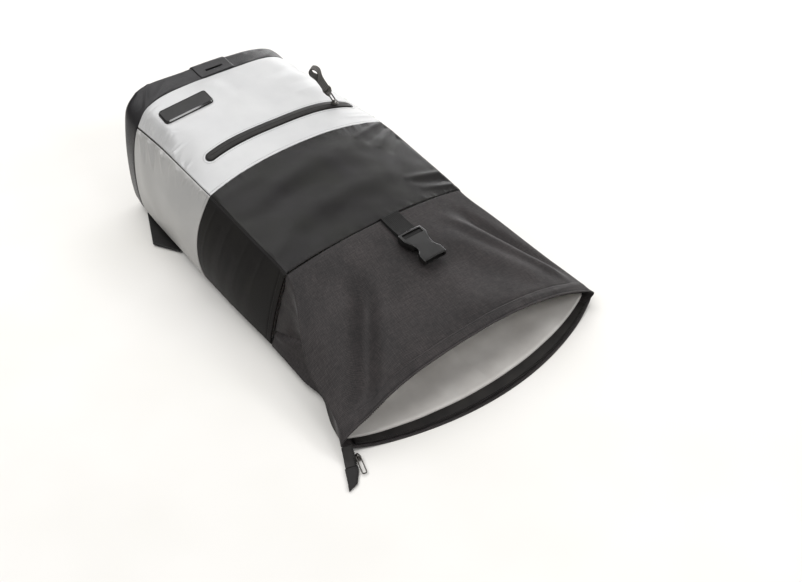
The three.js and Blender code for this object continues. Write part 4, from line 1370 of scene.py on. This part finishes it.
def base_tab():
    """The sewn tab on the base, with a slot through it for a light. It ends over the base's soft edge."""
    at = TAB_AT
    first = at.y - at.width / 2
    bend = BASE_TO - BASE_ROUND
    long = bend - first + BASE_ROUND

    def spot(u, v):
        x = at.x + at.length * (u - 0.5)
        run = v * long
        turn = max(0.0, run - (bend - first)) / BASE_ROUND
        y = min(first + run, bend) + BASE_ROUND * math.sin(turn)
        z = front_z(x, min(y, bend)) - BASE_ROUND * (1 - math.cos(turn))
        edge = min(at.length * min(u, 1 - u), run, long - run)
        lift = 1.6 - 1.1 * bell(edge, 0.9)
        return Vector((x, y + lift * math.sin(turn), z + lift * math.cos(turn)))

    bm = lay_cloth(56, 34, (at.length, long), spot)
    slot = [
        f for f in bm.faces
        if abs(f.calc_center_median().x - at.x) < TAB_SLOT_HALF
        and abs(f.calc_center_median().y - at.y) < 1.6
    ]
    bmesh.ops.delete(bm, geom=slot, context="FACES")
    tab = thicken(keep_piece(bm, "base_light_tab_cloth", BASE_NYLON, ["base_light_tab"]), 1.3)


badge_plate()
pocket_zip()
base_tab()

# Zip sliders and pulls

EYE_HEIGHT = 3.3


def slider_body(length, width, reach):
    """A zip slider: a rounded body with a tapered nose and a bridge whose eye takes the pull."""
    nose = width * 0.3
    outline = [
        (-length / 2, -nose), (-length / 4, -width / 2), (length / 2 - 0.8, -width / 2),
        (length / 2, -width / 2 + 0.8), (length / 2, width / 2 - 0.8), (length / 2 - 0.8, width / 2),
        (-length / 4, width / 2), (-length / 2, nose),
    ]
    bm = plate(outline, 0.0, 1.8, edge=0.5)
    half_arch = ((1.0, 1.2), (0.92, 3.6), (0.55, 5.1), (0.0, 5.5))
    arch = [Vector((-reach * a, 0, z)) for a, z in half_arch]
    arch += [Vector((reach * a, 0, z)) for a, z in reversed(half_arch[:-1])]
    run = smooth_run(arch, 4)
    bridge = bmesh.new()
    rings = []
    for k, place in enumerate(run):
        along = (run[min(k + 1, len(run) - 1)] - run[max(k - 1, 0)]).normalized()
        out = along.cross(Vector((0, 1, 0))).normalized()
        made = bmesh.ops.create_circle(bridge, segments=10, radius=1.0)["verts"]
        shape = axes_matrix(place, Vector((0, 1, 0)), out, Vector((0, 1, 0)).cross(out))
        bmesh.ops.transform(bridge, matrix=shape @ Matrix.Diagonal((1.2, 0.65, 1, 1)), verts=made)
        rings.append({edge for vert in made for edge in vert.link_edges})
    for near, far in zip(rings, rings[1:]):
        bmesh.ops.bridge_loops(bridge, edges=list(near | far))
    bmesh.ops.holes_fill(bridge, edges=bridge.edges)
    bmesh.ops.recalc_face_normals(bridge, faces=bridge.faces)
    return join_into(bm, bridge)


def wire_frame(inside, bar, reach, round_by, steps=5):
    """Run of points round a long wire loop, from the bar in the eye at y = 0 to y = reach."""
    half = inside / 2 + bar / 2
    points = []
    corners = ((half, 0, 0), (half, reach, 90), (-half, reach, 180), (-half, 0, 270))
    for x, y, start in corners:
        cx = x - math.copysign(round_by, x)
        cy = y + (round_by if y == 0 else -round_by)
        for k in range(steps + 1):
            angle = math.radians(start - 90 + 90 * k / steps)
            points.append(Vector((cx + round_by * math.cos(angle), cy + round_by * math.sin(angle), 0)))
    return points


SLIDER_X, SLIDER_LIFT = 97.0, 2.2
PULL_SWUNG, PULL_LEAN = math.radians(-41), math.radians(-49)
POCKET_ALONG, POCKET_ACROSS, POCKET_OUT = face_axes(SLIDER_X, ZIP_AT.y)
POCKET_SLIDER_AT = Vector((SLIDER_X, ZIP_AT.y, front_z(SLIDER_X, ZIP_AT.y))) + POCKET_OUT * SLIDER_LIFT
POCKET_SLIDER = axes_matrix(POCKET_SLIDER_AT, POCKET_ALONG, POCKET_ACROSS, POCKET_OUT)
PULL_BAR = Matrix.Rotation(PULL_SWUNG, 3, POCKET_OUT) @ POCKET_ACROSS
PULL_ALONG = Matrix.Rotation(PULL_LEAN, 3, PULL_BAR) @ POCKET_OUT
POCKET_PULL = axes_matrix(
    POCKET_SLIDER_AT + POCKET_OUT * EYE_HEIGHT, PULL_BAR, PULL_ALONG, PULL_BAR.cross(PULL_ALONG),
)
LOOP_LAYERS = (
    (12.2, 0.9), (15.0, 1.7), (18.0, 1.4), (22.0, 0.9), (30.0, 1.0), (37.0, 1.6), (42.0, 3.2), (47.0, 5.6),
    (51.0, 6.6), (55.0, 5.0), (57.0, 2.4),
)
COLLAR_CORNERS = ((5.6, 0.0), (5.4, 1.8), (4.2, 2.2), (-4.2, 2.2), (-5.4, 1.8), (-5.6, 0.0))


# Twists of the pull's soft part: degrees, and where along it each starts and ends
PULL_TWISTS = ((-62.0, 11.0, 20.0), (44.0, 34.0, 50.0))


def twisted(bm):
    """Twists the soft part of the pull about its own length."""
    for vert in bm.verts:
        turn = sum(degrees * ease(start, end, vert.co.y) for degrees, start, end in PULL_TWISTS)
        vert.co = Matrix.Rotation(math.radians(turn), 3, "Y") @ vert.co


def pocket_pull_loop():
    """A folded tape loop through the wire clip, its two layers pressed together under a collar."""
    up = [Vector((0, along, half)) for along, half in LOOP_LAYERS]
    down = [Vector((0, along, -half)) for along, half in reversed(LOOP_LAYERS)]
    run = even_run(smooth_run(up + [Vector((0, 57.8, 0))] + down, 6), 1.2)
    bm = woven_band(run, Vector((1, 0, 0)), 10.0, columns=10, sag=0.15)
    twisted(bm)
    loop = keep_piece(bm, "pocket_pull_tape", GREY_WEBBING_PAINTED_LIGHT, ["pocket_pull_loop"], "pocket_pull", POCKET_PULL)
    round_edges(thicken(loop, 1.4, 0.0), 0.35)
    run_length(run) / 1000
    collar_run = [Vector((x, 20.5, z)) for x, z in COLLAR_CORNERS]
    collar_run += [Vector((-p.x, p.y, -p.z)) for p in collar_run[1:-1]]
    collar_run = smooth_run(collar_run + [collar_run[0]], 4)
    collar = woven_band(collar_run, Vector((0, 1, 0)), 4.0, columns=6, sag=0.2)
    bmesh.ops.remove_doubles(collar, verts=collar.verts, dist=0.01)
    bmesh.ops.recalc_face_normals(collar, faces=collar.faces)
    twisted(collar)
    thicken(keep_piece(collar, "pocket_pull_collar", METAL, (), "pocket_pull", POCKET_PULL), 0.7, 1.0)


def pocket_slider_and_pull():
    """The slider on the pocket's zip, its wire clip and the tape loop."""
    body = slider_body(length=11.0, width=8.0, reach=4.3)
    keep_piece(body, "pocket_zip_slider_body", METAL, ["pocket_zip_slider"], at=POCKET_SLIDER, sharp=35.0)
    frame_run = wire_frame(inside=10.8, bar=1.6, reach=14.0, round_by=1.4)
    clip = wire(frame_run, thickness=2.0, closed=True)
    keep_piece(clip, "pocket_pull_wire", METAL, ["pocket_pull_clip"], "pocket_pull", POCKET_PULL)
    pocket_pull_loop()


MOUTH_HEADING = math.radians(-110)
MOUTH_SLIDER = Matrix.Translation((-197.2, -206.0, 1.6)) @ Matrix.Rotation(MOUTH_HEADING, 4, "Z")
MOUTH_DROP = math.radians(5)
MOUTH_PULL = MOUTH_SLIDER @ axes_matrix(
    Vector((0, 0, EYE_HEIGHT)), Vector((0, -1, 0)), Vector((math.cos(MOUTH_DROP), 0, -math.sin(MOUTH_DROP))),
    Vector((math.sin(MOUTH_DROP), 0, math.cos(MOUTH_DROP))),
)


def mouth_slider_and_pull():
    """The slider at the mouth's left corner and its long wire pull."""
    body = slider_body(length=10.0, width=6.4, reach=3.2)
    keep_piece(body, "mouth_zip_slider_body", METAL, ["mouth_zip_slider"], at=MOUTH_SLIDER, sharp=35.0)
    frame_run = wire_frame(inside=3.6, bar=1.5, reach=25.0, round_by=1.8)
    pull = wire(frame_run, thickness=1.5, closed=True)
    keep_piece(pull, "mouth_zip_pull_wire", METAL, ["mouth_zip_pull"], "mouth_pull", MOUTH_PULL)


pocket_slider_and_pull()
mouth_slider_and_pull()

# Closure buckle on its webbing

BUCKLE_OUTLINE = (
    (-2.5, 17), (-1, 18), (6, 18.4), (11, 17.8), (17, 15.4), (23, 12.8), (28, 12.2), (33, 13.6),
    (36.5, 16.4), (41, 17.4), (49.5, 17.4),
)
BUCKLE_TILT = math.radians(9)
BUCKLE_X, BUCKLE_Y, BUCKLE_LIFT = 19.0, -40.0, 2.1
BUCKLE_AT = Matrix.Translation((BUCKLE_X, BUCKLE_Y, front_z(BUCKLE_X, BUCKLE_Y) + BUCKLE_LIFT))
BUCKLE = BUCKLE_AT @ Matrix.Rotation(BUCKLE_TILT, 4, "X")
BUCKLE_HEIGHT = 9.6
BUCKLE_REAR, BUCKLE_MOUTH, BUCKLE_HALF = 2.5, -49.5, 18.4
BUCKLE_CROWN, BUCKLE_FALL = 0.8, 1.7

# What is cut out of the socket: half its length along x, its y and its z from and to, and its edges'
# round. In turn the slot, the hollow over the webbing's bar, the opening to the rear and the mouth
SOCKET_CUTS = (
    (14.5, -8.6, -0.4, -2, 14, 0.8),
    (14.5, -16.0, -2.0, -2, 7.3, 0.5),
    (14.5, -3.0, 12.0, -3, 7.2, 0.5),
    (14.6, -60.0, -24.0, 1.9, 7.6, 0.7),
)
WEBBING_BAR = (15, -12.4, -9.0, 1.3, 4.4, 0.7)


def cut_away(body, cutter):
    """Cuts one closed bmesh out of another and gives back what is left."""
    held = []
    for bm, name in ((body, "body"), (cutter, "cutter")):
        mesh = bpy.data.meshes.new(name)
        bm.to_mesh(mesh)
        bm.free()
        held.append(bpy.data.objects.new(name, mesh))
        bpy.context.scene.collection.objects.link(held[-1])
    cut = held[0].modifiers.new("cut", "BOOLEAN")
    cut.object = held[1]
    cut.operation = "DIFFERENCE"
    cut.solver = "EXACT"
    done = bpy.data.meshes.new_from_object(held[0].evaluated_get(bpy.context.evaluated_depsgraph_get()))
    left = bmesh.new()
    left.from_mesh(done)
    for item in held:
        mesh = item.data
        bpy.data.objects.remove(item)
        bpy.data.meshes.remove(mesh)
    bpy.data.meshes.remove(done)
    return left


def block(half, y0, y1, z0, z1, edge):
    """A block about the middle of x with every edge rounded."""
    bm = plate([(-half, y0), (half, y0), (half, y1), (-half, y1)], z0, z1)
    bmesh.ops.bevel(
        bm, geom=bm.edges[:], offset=edge, segments=2, profile=0.5, affect="EDGES", material=-1,
    )
    return bm


def buckle_socket():
    """The socket of a side-release buckle: a waisted box with a bare bar at its rear, a bar for the
    webbing behind the slot, an open mouth at its front and pressed-in sides for the plug's arms."""
    right = smooth_run([Vector((half, -along, 0)) for along, half in BUCKLE_OUTLINE], 3)
    outline = [(p.x, p.y) for p in right] + [(-p.x, p.y) for p in reversed(right)]
    bm = plate(outline[::-1], 0.0, BUCKLE_HEIGHT, edge=2.2, segments=2)
    slice_along(bm, 1, BUCKLE_MOUTH, BUCKLE_REAR, 3.0)
    slice_along(bm, 0, -BUCKLE_HALF, BUCKLE_HALF, 6.0)
    for vert in bm.verts:
        if vert.co.z > BUCKLE_HEIGHT / 2:
            across, along = vert.co.x / 18, (vert.co.y + 16) / 33
            vert.co.z += BUCKLE_CROWN * (1 - across ** 2) - BUCKLE_FALL * along ** 2
    for cut in SOCKET_CUTS:
        bm = cut_away(bm, block(*cut))
    join_into(bm, block(*WEBBING_BAR))
    bmesh.ops.dissolve_degenerate(bm, edges=bm.edges, dist=0.01)
    bm.normal_update()
    for face in bm.faces:
        face.material_index = 1 if 0.3 < face.normal.z < 0.965 else 0
    socket = keep_piece(
        bm, "buckle_socket_moulding", ACETAL, ["buckle_socket"], at=BUCKLE, sharp=30.0, inside=ACETAL_EDGE,
    )
    round_edges(socket, 0.3, segments=2, angle=40.0)


def closure_webbing():
    """Webbing that leaves the roll-top seam, passes under the rear bar, wraps the inner bar and comes
    back below itself."""
    layer, lift, thick = 1.7, 0.7, 1.4
    wrap = (
        (-4, 4.4), (0, 6.2), (2.4, 7.3), (4.8, 8.0), (7.2, 7.4), (9.2, 6.3), (11.6, 6.05), (13.5, 5),
        (14.1, 3), (13.5, 0.9), (11.4, -0.2), (8, -0.2), (1, -0.2),
    )

    def on_sheet(y, layers):
        return Vector((BUCKLE_X, y, front_z(BUCKLE_X, y) + lift + thick / 2 + layers * layer))

    path = [on_sheet(-0.5, 1), on_sheet(-8, 1), on_sheet(-18, 1.3)]
    path += [BUCKLE @ Vector((0, -along, z)) for along, z in wrap]
    path += [on_sheet(-24, 0), on_sheet(-14, 0), on_sheet(-0.5, 0)]
    run = even_run(smooth_run(path, 6), 1.1)
    bm = woven_band(run, Vector((1, 0, 0)), 27.6, columns=22, sag=0.25)
    band = thicken(keep_piece(bm, "closure_webbing_band", WEBBING, ["closure_webbing"]), thick, 0.0)
    run_length(run) / 1000
    stitches = bmesh.new()
    for y in (-3.5, -11.0):
        row = [Vector((x, y, front_z(x, y) + lift + thick + layer + 0.1)) for x in range(7, 32)]
        stitch_row(stitches, row, pitch=2.6, length=2.0, width=0.5)
    keep_piece(stitches, "closure_webbing_stitches", THREAD)


def closure_strap():
    """The mating strap, hidden under the bag, with its plug."""
    path = [Vector((0, y, z)) for y, z in ((60, 10.9), (22, 10.9), (0, 9), (-18, 4.6), (-34, 2), (-52, 1.5))]
    run = even_run(smooth_run(path, 6), 2.0)
    bm = woven_band(run, Vector((1, 0, 0)), 25.0, columns=16, sag=0.2)
    strap = thicken(keep_piece(bm, "closure_strap_band", WEBBING, ["closure_strap"]), 1.5, 0.0)
    run_length(run) / 1000
    plug = block(half=14, y0=-80, y1=-50, z0=0.4, z1=4.0, edge=0.9)
    keep_piece(plug, "closure_strap_plug", ACETAL, ["closure_strap"], sharp=35.0)


buckle_socket()
closure_webbing()
closure_strap()

# The zip's loose end at the mouth's left corner

TAIL_ROWS = (
    (-208.5, -190.6, -196.5, -194.4, 11.5),
    (-211.5, -197.5, -199, -201.5, 6.4),
    (-214.5, -203.5, -202, -208, 2.4),
    (-218.5, -211, -205.6, -215.5, 1.6),
)
END_TAB_ROWS = (
    (-219.8, -211.4, -205.2, -216.4, 1.2),
    (-224, -219.5, -209.4, -223.4, 0.8),
    (-234.6, -238.4, -221, -235.6, 0.6),
)


def loose_strip(name, rows, node, finish, thickness, swell):
    """A strip of tape between two edges given by rows: left x, y, right x, y and height."""
    left = even_run(smooth_run([Vector((r[0], r[1], r[4] + thickness / 2)) for r in rows], 8), 1.0)
    right = smooth_run([Vector((r[2], r[3], r[4] + thickness / 2)) for r in rows], 8)
    right = even_run(right, run_length(right) / (len(left) - 1))
    last = min(len(left), len(right)) - 1

    def spot(u, v):
        k = round(v * last)
        return left[k].lerp(right[k], u)

    def relief(u, v, place, normal):
        edge = min(u, 1 - u)
        return Vector((0, 0, swell * ease(0.0, 0.22, edge) + 0.25 * drift(place.x, place.y, 5.0, 7.0)))

    long = run_length(left)
    bm = lay_cloth(14, last, (13.0, long), spot, relief)
    bmesh.ops.recalc_face_normals(bm, faces=bm.faces)
    piece = thicken(keep_piece(bm, name, finish, [node]), thickness, 0.0)
    round_edges(piece, 0.4)
    return left, right


def loose_end():
    """The tape's end with the last of its coil, and the stitched tab that closes it."""
    left, right = loose_strip("mouth_zip_tail_tape", TAIL_ROWS, "mouth_zip_tail", ZIP_TAPE, 1.8, 0.5)
    teeth = bmesh.new()
    for place in even_run([a.lerp(b, 0.93) for a, b in zip(left, right)], COIL_PITCH):
        lifted = Matrix.Translation(place + UP * 1.5)
        pill(teeth, lifted @ Matrix.Rotation(math.radians(-25), 4, "Z"), TAIL_TOOTH)
    keep_piece(teeth, "mouth_zip_tail_coil", ZIP_TAPE, sharp=60.0)
    left, right = loose_strip(
        "mouth_zip_end_tab_cloth", END_TAB_ROWS, "mouth_zip_end_tab", BODY_NYLON, 2.6, 0.4,
    )
    stitches = bmesh.new()
    for share in (0.14, 0.86):
        row = [a.lerp(b, share) + Vector((0, 0, 1.8)) for a, b in zip(left, right)]
        stitch_row(stitches, row, pitch=2.6, length=2.0, width=0.5)
    keep_piece(stitches, "mouth_zip_end_tab_stitches", THREAD)


loose_end()

# Shoulder straps pressed flat under the bag, their webbing, and the wings at the base

STRAP_HALF_HIGH = 5.7
STRAP_ROWS = ((26, 50, 62), (80, 59, 64), (140, 72, 62), (190, 81, 56), (226, 86, 42), (238, 87, 32))
WING_CORNERS = ((120, 362, 8.6), (140.4, 352.4, 3.6), (171, 285, 2.4), (152, 245.5, 3.6), (122, 252, 8.6))


def strap_pad(side, hand):
    """A padded strap: a top and an underside that meet in a bound edge."""
    spine = smooth_run([Vector((x, y, width)) for y, x, width in STRAP_ROWS], 12)
    last = len(spine) - 1
    total = spine[-1].y - spine[0].y

    def shell(up):
        def spot(u, v):
            row = spine[round(v * last)]
            s = 2 * u - 1
            ends = 1 - 0.55 * (bell(v, 0.03) + bell(1 - v, 0.03))
            rim = (1 - abs(s) ** 3.2) ** 0.5
            binding = 0.18 * bell(abs(s) - 0.86, 0.06)
            z = STRAP_HALF_HIGH * (1 + up * min(1.0, 0.12 + 0.88 * rim * ends - binding))
            across = up * hand * s * row.z / 2
            return Vector((hand * row.x + across, row.y, z))

        return lay_cloth(26, last, (62.0, total), spot)

    bm = join_into(shell(1), shell(-1))
    bmesh.ops.remove_doubles(bm, verts=bm.verts, dist=0.02)
    border = [e for e in bm.edges if e.is_boundary]
    bmesh.ops.bridge_loops(bm, edges=border)
    bmesh.ops.recalc_face_normals(bm, faces=bm.faces)
    pad = keep_piece(bm, f"shoulder_strap_{side}_pad", AIR_MESH, [f"shoulder_strap_{side}"], sharp=60.0)


def strap_band(side, hand):
    """The short webbing between a strap and its wing."""
    path = [Vector((hand * x, y, 1.0)) for x, y in ((94, 249.2), (116, 263), (150, 281))]
    run = even_run(smooth_run(path, 8), 2.0)
    along = run[-1] - run[0]
    bm = woven_band(run, Vector((-along.y, along.x, 0)), 25.0, columns=16, sag=0.2)
    bmesh.ops.recalc_face_normals(bm, faces=bm.faces)
    band = thicken(keep_piece(bm, f"strap_webbing_{side}_band", WEBBING, [f"strap_webbing_{side}"]), 1.5, 0.0)
    run_length(run) / 1000


def strap_wing(side, hand):
    """A wing of doubled cloth that takes the strap's webbing, with a stitched edge."""
    corners = [Vector((hand * x, y, z)) for x, y, z in WING_CORNERS]
    bm = bmesh.new()
    bm.faces.new([bm.verts.new(p + Vector((0, 0, 1.4))) for p in corners])
    bmesh.ops.triangulate(bm, faces=bm.faces)
    bmesh.ops.subdivide_edges(bm, edges=bm.edges, cuts=11, use_grid_fill=True)
    laid = bm.loops.layers.uv.new(CLOTH_UV)
    for face in bm.faces:
        for loop in face.loops:
            loop[laid].uv = (loop.vert.co.x, loop.vert.co.y)
    for vert in bm.verts:
        vert.co.z += 0.5 * drift(vert.co.x, vert.co.y, 2.0, 22.0)
    bmesh.ops.recalc_face_normals(bm, faces=bm.faces)
    wing = thicken(keep_piece(bm, f"strap_wing_{side}_cloth", BODY_NYLON, [f"strap_wing_{side}"]), 2.4, 0.0)
    round_edges(wing, 0.5)
    stitches = bmesh.new()
    middle = sum(corners, Vector()) / len(corners)
    for a, b in ((corners[1], corners[2]), (corners[2], corners[3])):
        row = [a.lerp(b, k / 40).lerp(middle, 0.12) + Vector((0, 0, 2.9)) for k in range(41)]
        stitch_row(stitches, row)
    keep_piece(stitches, f"strap_wing_{side}_stitches", THREAD)


for side, hand in SIDES:
    strap_pad(side, hand)
    strap_band(side, hand)
    strap_wing(side, hand)

# Stitching along the seams and hems, and dark cords in the seams that paint their shadow lines

# Thickness and depth under the seam of the dark cords that stand in for each seam's shadow: painted shadow
SHADOW_CORD = 1.3
SHADOW_CORD_DEPTH = 1.1


def hem_stitches():
    """Two rows on the front lip and one on the back lip."""
    bm = bmesh.new()
    for part, inset in (("front", HEM - 1.6), ("front", 2.8), ("back", HEM - 1.6)):
        rows = [lip_row(part, 0.01 + 0.98 * k / 300, ROLL_FROM + inset, -0.9) for k in range(301)]
        stitch_row(bm, [r[0] for r in rows], [r[2] for r in rows], pitch=3.6, length=2.7, width=0.6)
    keep_piece(bm, "roll_hem_stitches", THREAD)


def side_hem_stitches():
    """A row on each body side's hem."""
    bm = bmesh.new()
    for _, hand in SIDES:
        def at(t, across):
            return side_point(0.03 + 0.94 * t, SIDE_HEM - 1.5 + across, hand)

        run, normals = surface_row(at, 120)
        normals = [n if n.x * hand > 0 else -n for n in normals]
        run = [p + n * 1.0 for p, n in zip(run, normals)]
        stitch_row(bm, run, normals)
    keep_piece(bm, "body_side_hem_stitches", THREAD)


def round_front(y, steps=90, depth=0.0):
    """Points from the left back seam over the front to the right back seam, sunk by a depth."""
    run = [side_point(1 - k / 40, y, -1) for k in range(40)]
    run += [front_at(section(y).half_front * (2 * k / steps - 1), y) for k in range(steps)]
    run += [side_point(k / 40, y, 1) for k in range(41)]
    middle = Vector((0, y, 70))
    made = []
    for k, place in enumerate(run):
        along = run[min(k + 1, len(run) - 1)] - run[max(k - 1, 0)]
        out = along.cross(Vector((0, 1, 0))).normalized()
        out = out if out.dot(place - middle) > 0 else -out
        made.append((place - out * depth, out))
    return made


def seam_shadow_cord():
    """Dark cords laid just under each seam's gap: painted shadow, seen as a thin dark line between two
    panels.
    """
    for side, hand in SIDES:
        run = []
        for k in range(121):
            y = POCKET_TO * k / 120
            corner = side_point(0.0, y, hand)
            run.append(corner + Vector((-hand, 0, -1)) * SHADOW_CORD_DEPTH)
        keep_piece(wire(run, SHADOW_CORD, sides=1), f"front_seam_shadow_cord_{side}", THREAD)
    for name, y in (("roll_seam", ROLL_TO), ("base_seam", POCKET_TO + SEAM / 2)):
        run = [place for place, _ in round_front(y, depth=1.4 * SHADOW_CORD_DEPTH)]
        keep_piece(wire(run, SHADOW_CORD, sides=1), f"{name}_shadow_cord", THREAD)


def silver_topstitch():
    """A row of grey stitches beside the silver cloth's folded edge."""
    bm = bmesh.new()
    rows = round_front(BODY_TO + EDGE_STITCH, steps=140, depth=-0.1)
    stitch_row(bm, [place for place, _ in rows], [out for _, out in rows], pitch=3.0, length=2.8, width=0.5)
    keep_piece(bm, "silver_edge_stitches", GREY_THREAD)


hem_stitches()
side_hem_stitches()
seam_shadow_cord()
silver_topstitch()

# Studio


def pale_paper():
    """Matt white backdrop paper with a very faint mottle."""
    finish, tree = new_finish("pale_paper")
    place = add(tree, "TexCoord", "Object")
    # Mottle of about 170 mm
    mottle = add(tree, "TexNoise", "Fac", {"Vector": place, "Scale": 6.0, "Detail": 2.0})
    return dress(finish, {
        "Base Color": add(tree, "ValToRGB", "Color", {"Fac": mottle}, ((0.3, "#e4e2dd"), (0.7, "#e8e6e2"))),
        "Roughness": 0.9,
        "Specular IOR Level": 0.1,
    })


def studio_floor():
    """A wide round of paper under the bag."""
    bm = bmesh.new()
    bmesh.ops.create_circle(bm, cap_ends=True, segments=96, radius=7.0)
    mesh = bpy.data.meshes.new("floor")
    bm.to_mesh(mesh)
    bm.free()
    mesh.materials.append(pale_paper())
    floor = bpy.data.objects.new("floor", mesh)
    bpy.context.scene.collection.objects.link(floor)


def soft_box(name, place, target, size, power):
    """A rectangular lamp that the camera does not see, turned towards a target."""
    lamp = bpy.data.lights.new(name, "AREA")
    lamp.shape = "RECTANGLE"
    lamp.size, lamp.size_y = size
    lamp.energy = power
    holder = bpy.data.objects.new(name, lamp)
    holder.location = place
    holder.rotation_euler = (Vector(target) - Vector(place)).to_track_quat("-Z", "Y").to_euler()
    holder.visible_camera = False
    bpy.context.scene.collection.objects.link(holder)


def room_light():
    """Light from the room: pale from above, dim from the sides."""
    world = bpy.data.worlds.new("studio")
    world.use_nodes = True
    tree = world.node_tree
    way = add(tree, "TexCoord", "Generated")
    height = add(tree, "SeparateXYZ", "Z", {"Vector": way})
    glow = add(tree, "ValToRGB", "Color", {"Fac": height}, ((0.0, "#505052"), (0.9, "#d0d0d2")))
    feed(tree.nodes["Background"], {"Color": glow, "Strength": 0.85})
    return world


def studio():
    """Floor, lamps, room light and the camera, which is fitted to the picture."""
    studio_floor()
    soft_box("key", (0.95, 0.8, 1.95), (0.0, 0.0, 0.1), (1.7, 1.7), 15.0)
    soft_box("left_fill", (-1.2, 0.2, 2.2), (0.0, 0.1, 0.1), (1.6, 1.6), 29.0)
    soft_box("front_right", (1.1, -1.45, 1.4), (0.0, 0.0, 0.1), (0.7, 0.7), 12.0)
    soft_box("front_low", (0.0, -1.8, 1.5), (0.0, 0.0, 0.1), (0.5, 0.5), 5.0)
    soft_box("rear", (0.15, 1.7, 2.0), (0.0, 0.1, 0.1), (1.1, 1.1), 12.0)
    soft_box("right_strip", (1.75, 1.05, 0.45), (0.0, 0.0, 0.1), (2.4, 0.35), 20.0)
    bpy.context.scene.world = room_light()
    bpy.context.scene.view_settings.view_transform = "Standard"
    lens = bpy.data.cameras.new("camera")
    lens.lens = 49.83
    lens.sensor_width = 36.0
    camera = bpy.data.objects.new("camera", lens)
    camera.location = (-0.6866, -0.9553, 0.937)
    camera.rotation_euler = (math.radians(50.4), 0.0, math.radians(-40.1))
    bpy.context.scene.collection.objects.link(camera)
    bpy.context.scene.camera = camera


studio()
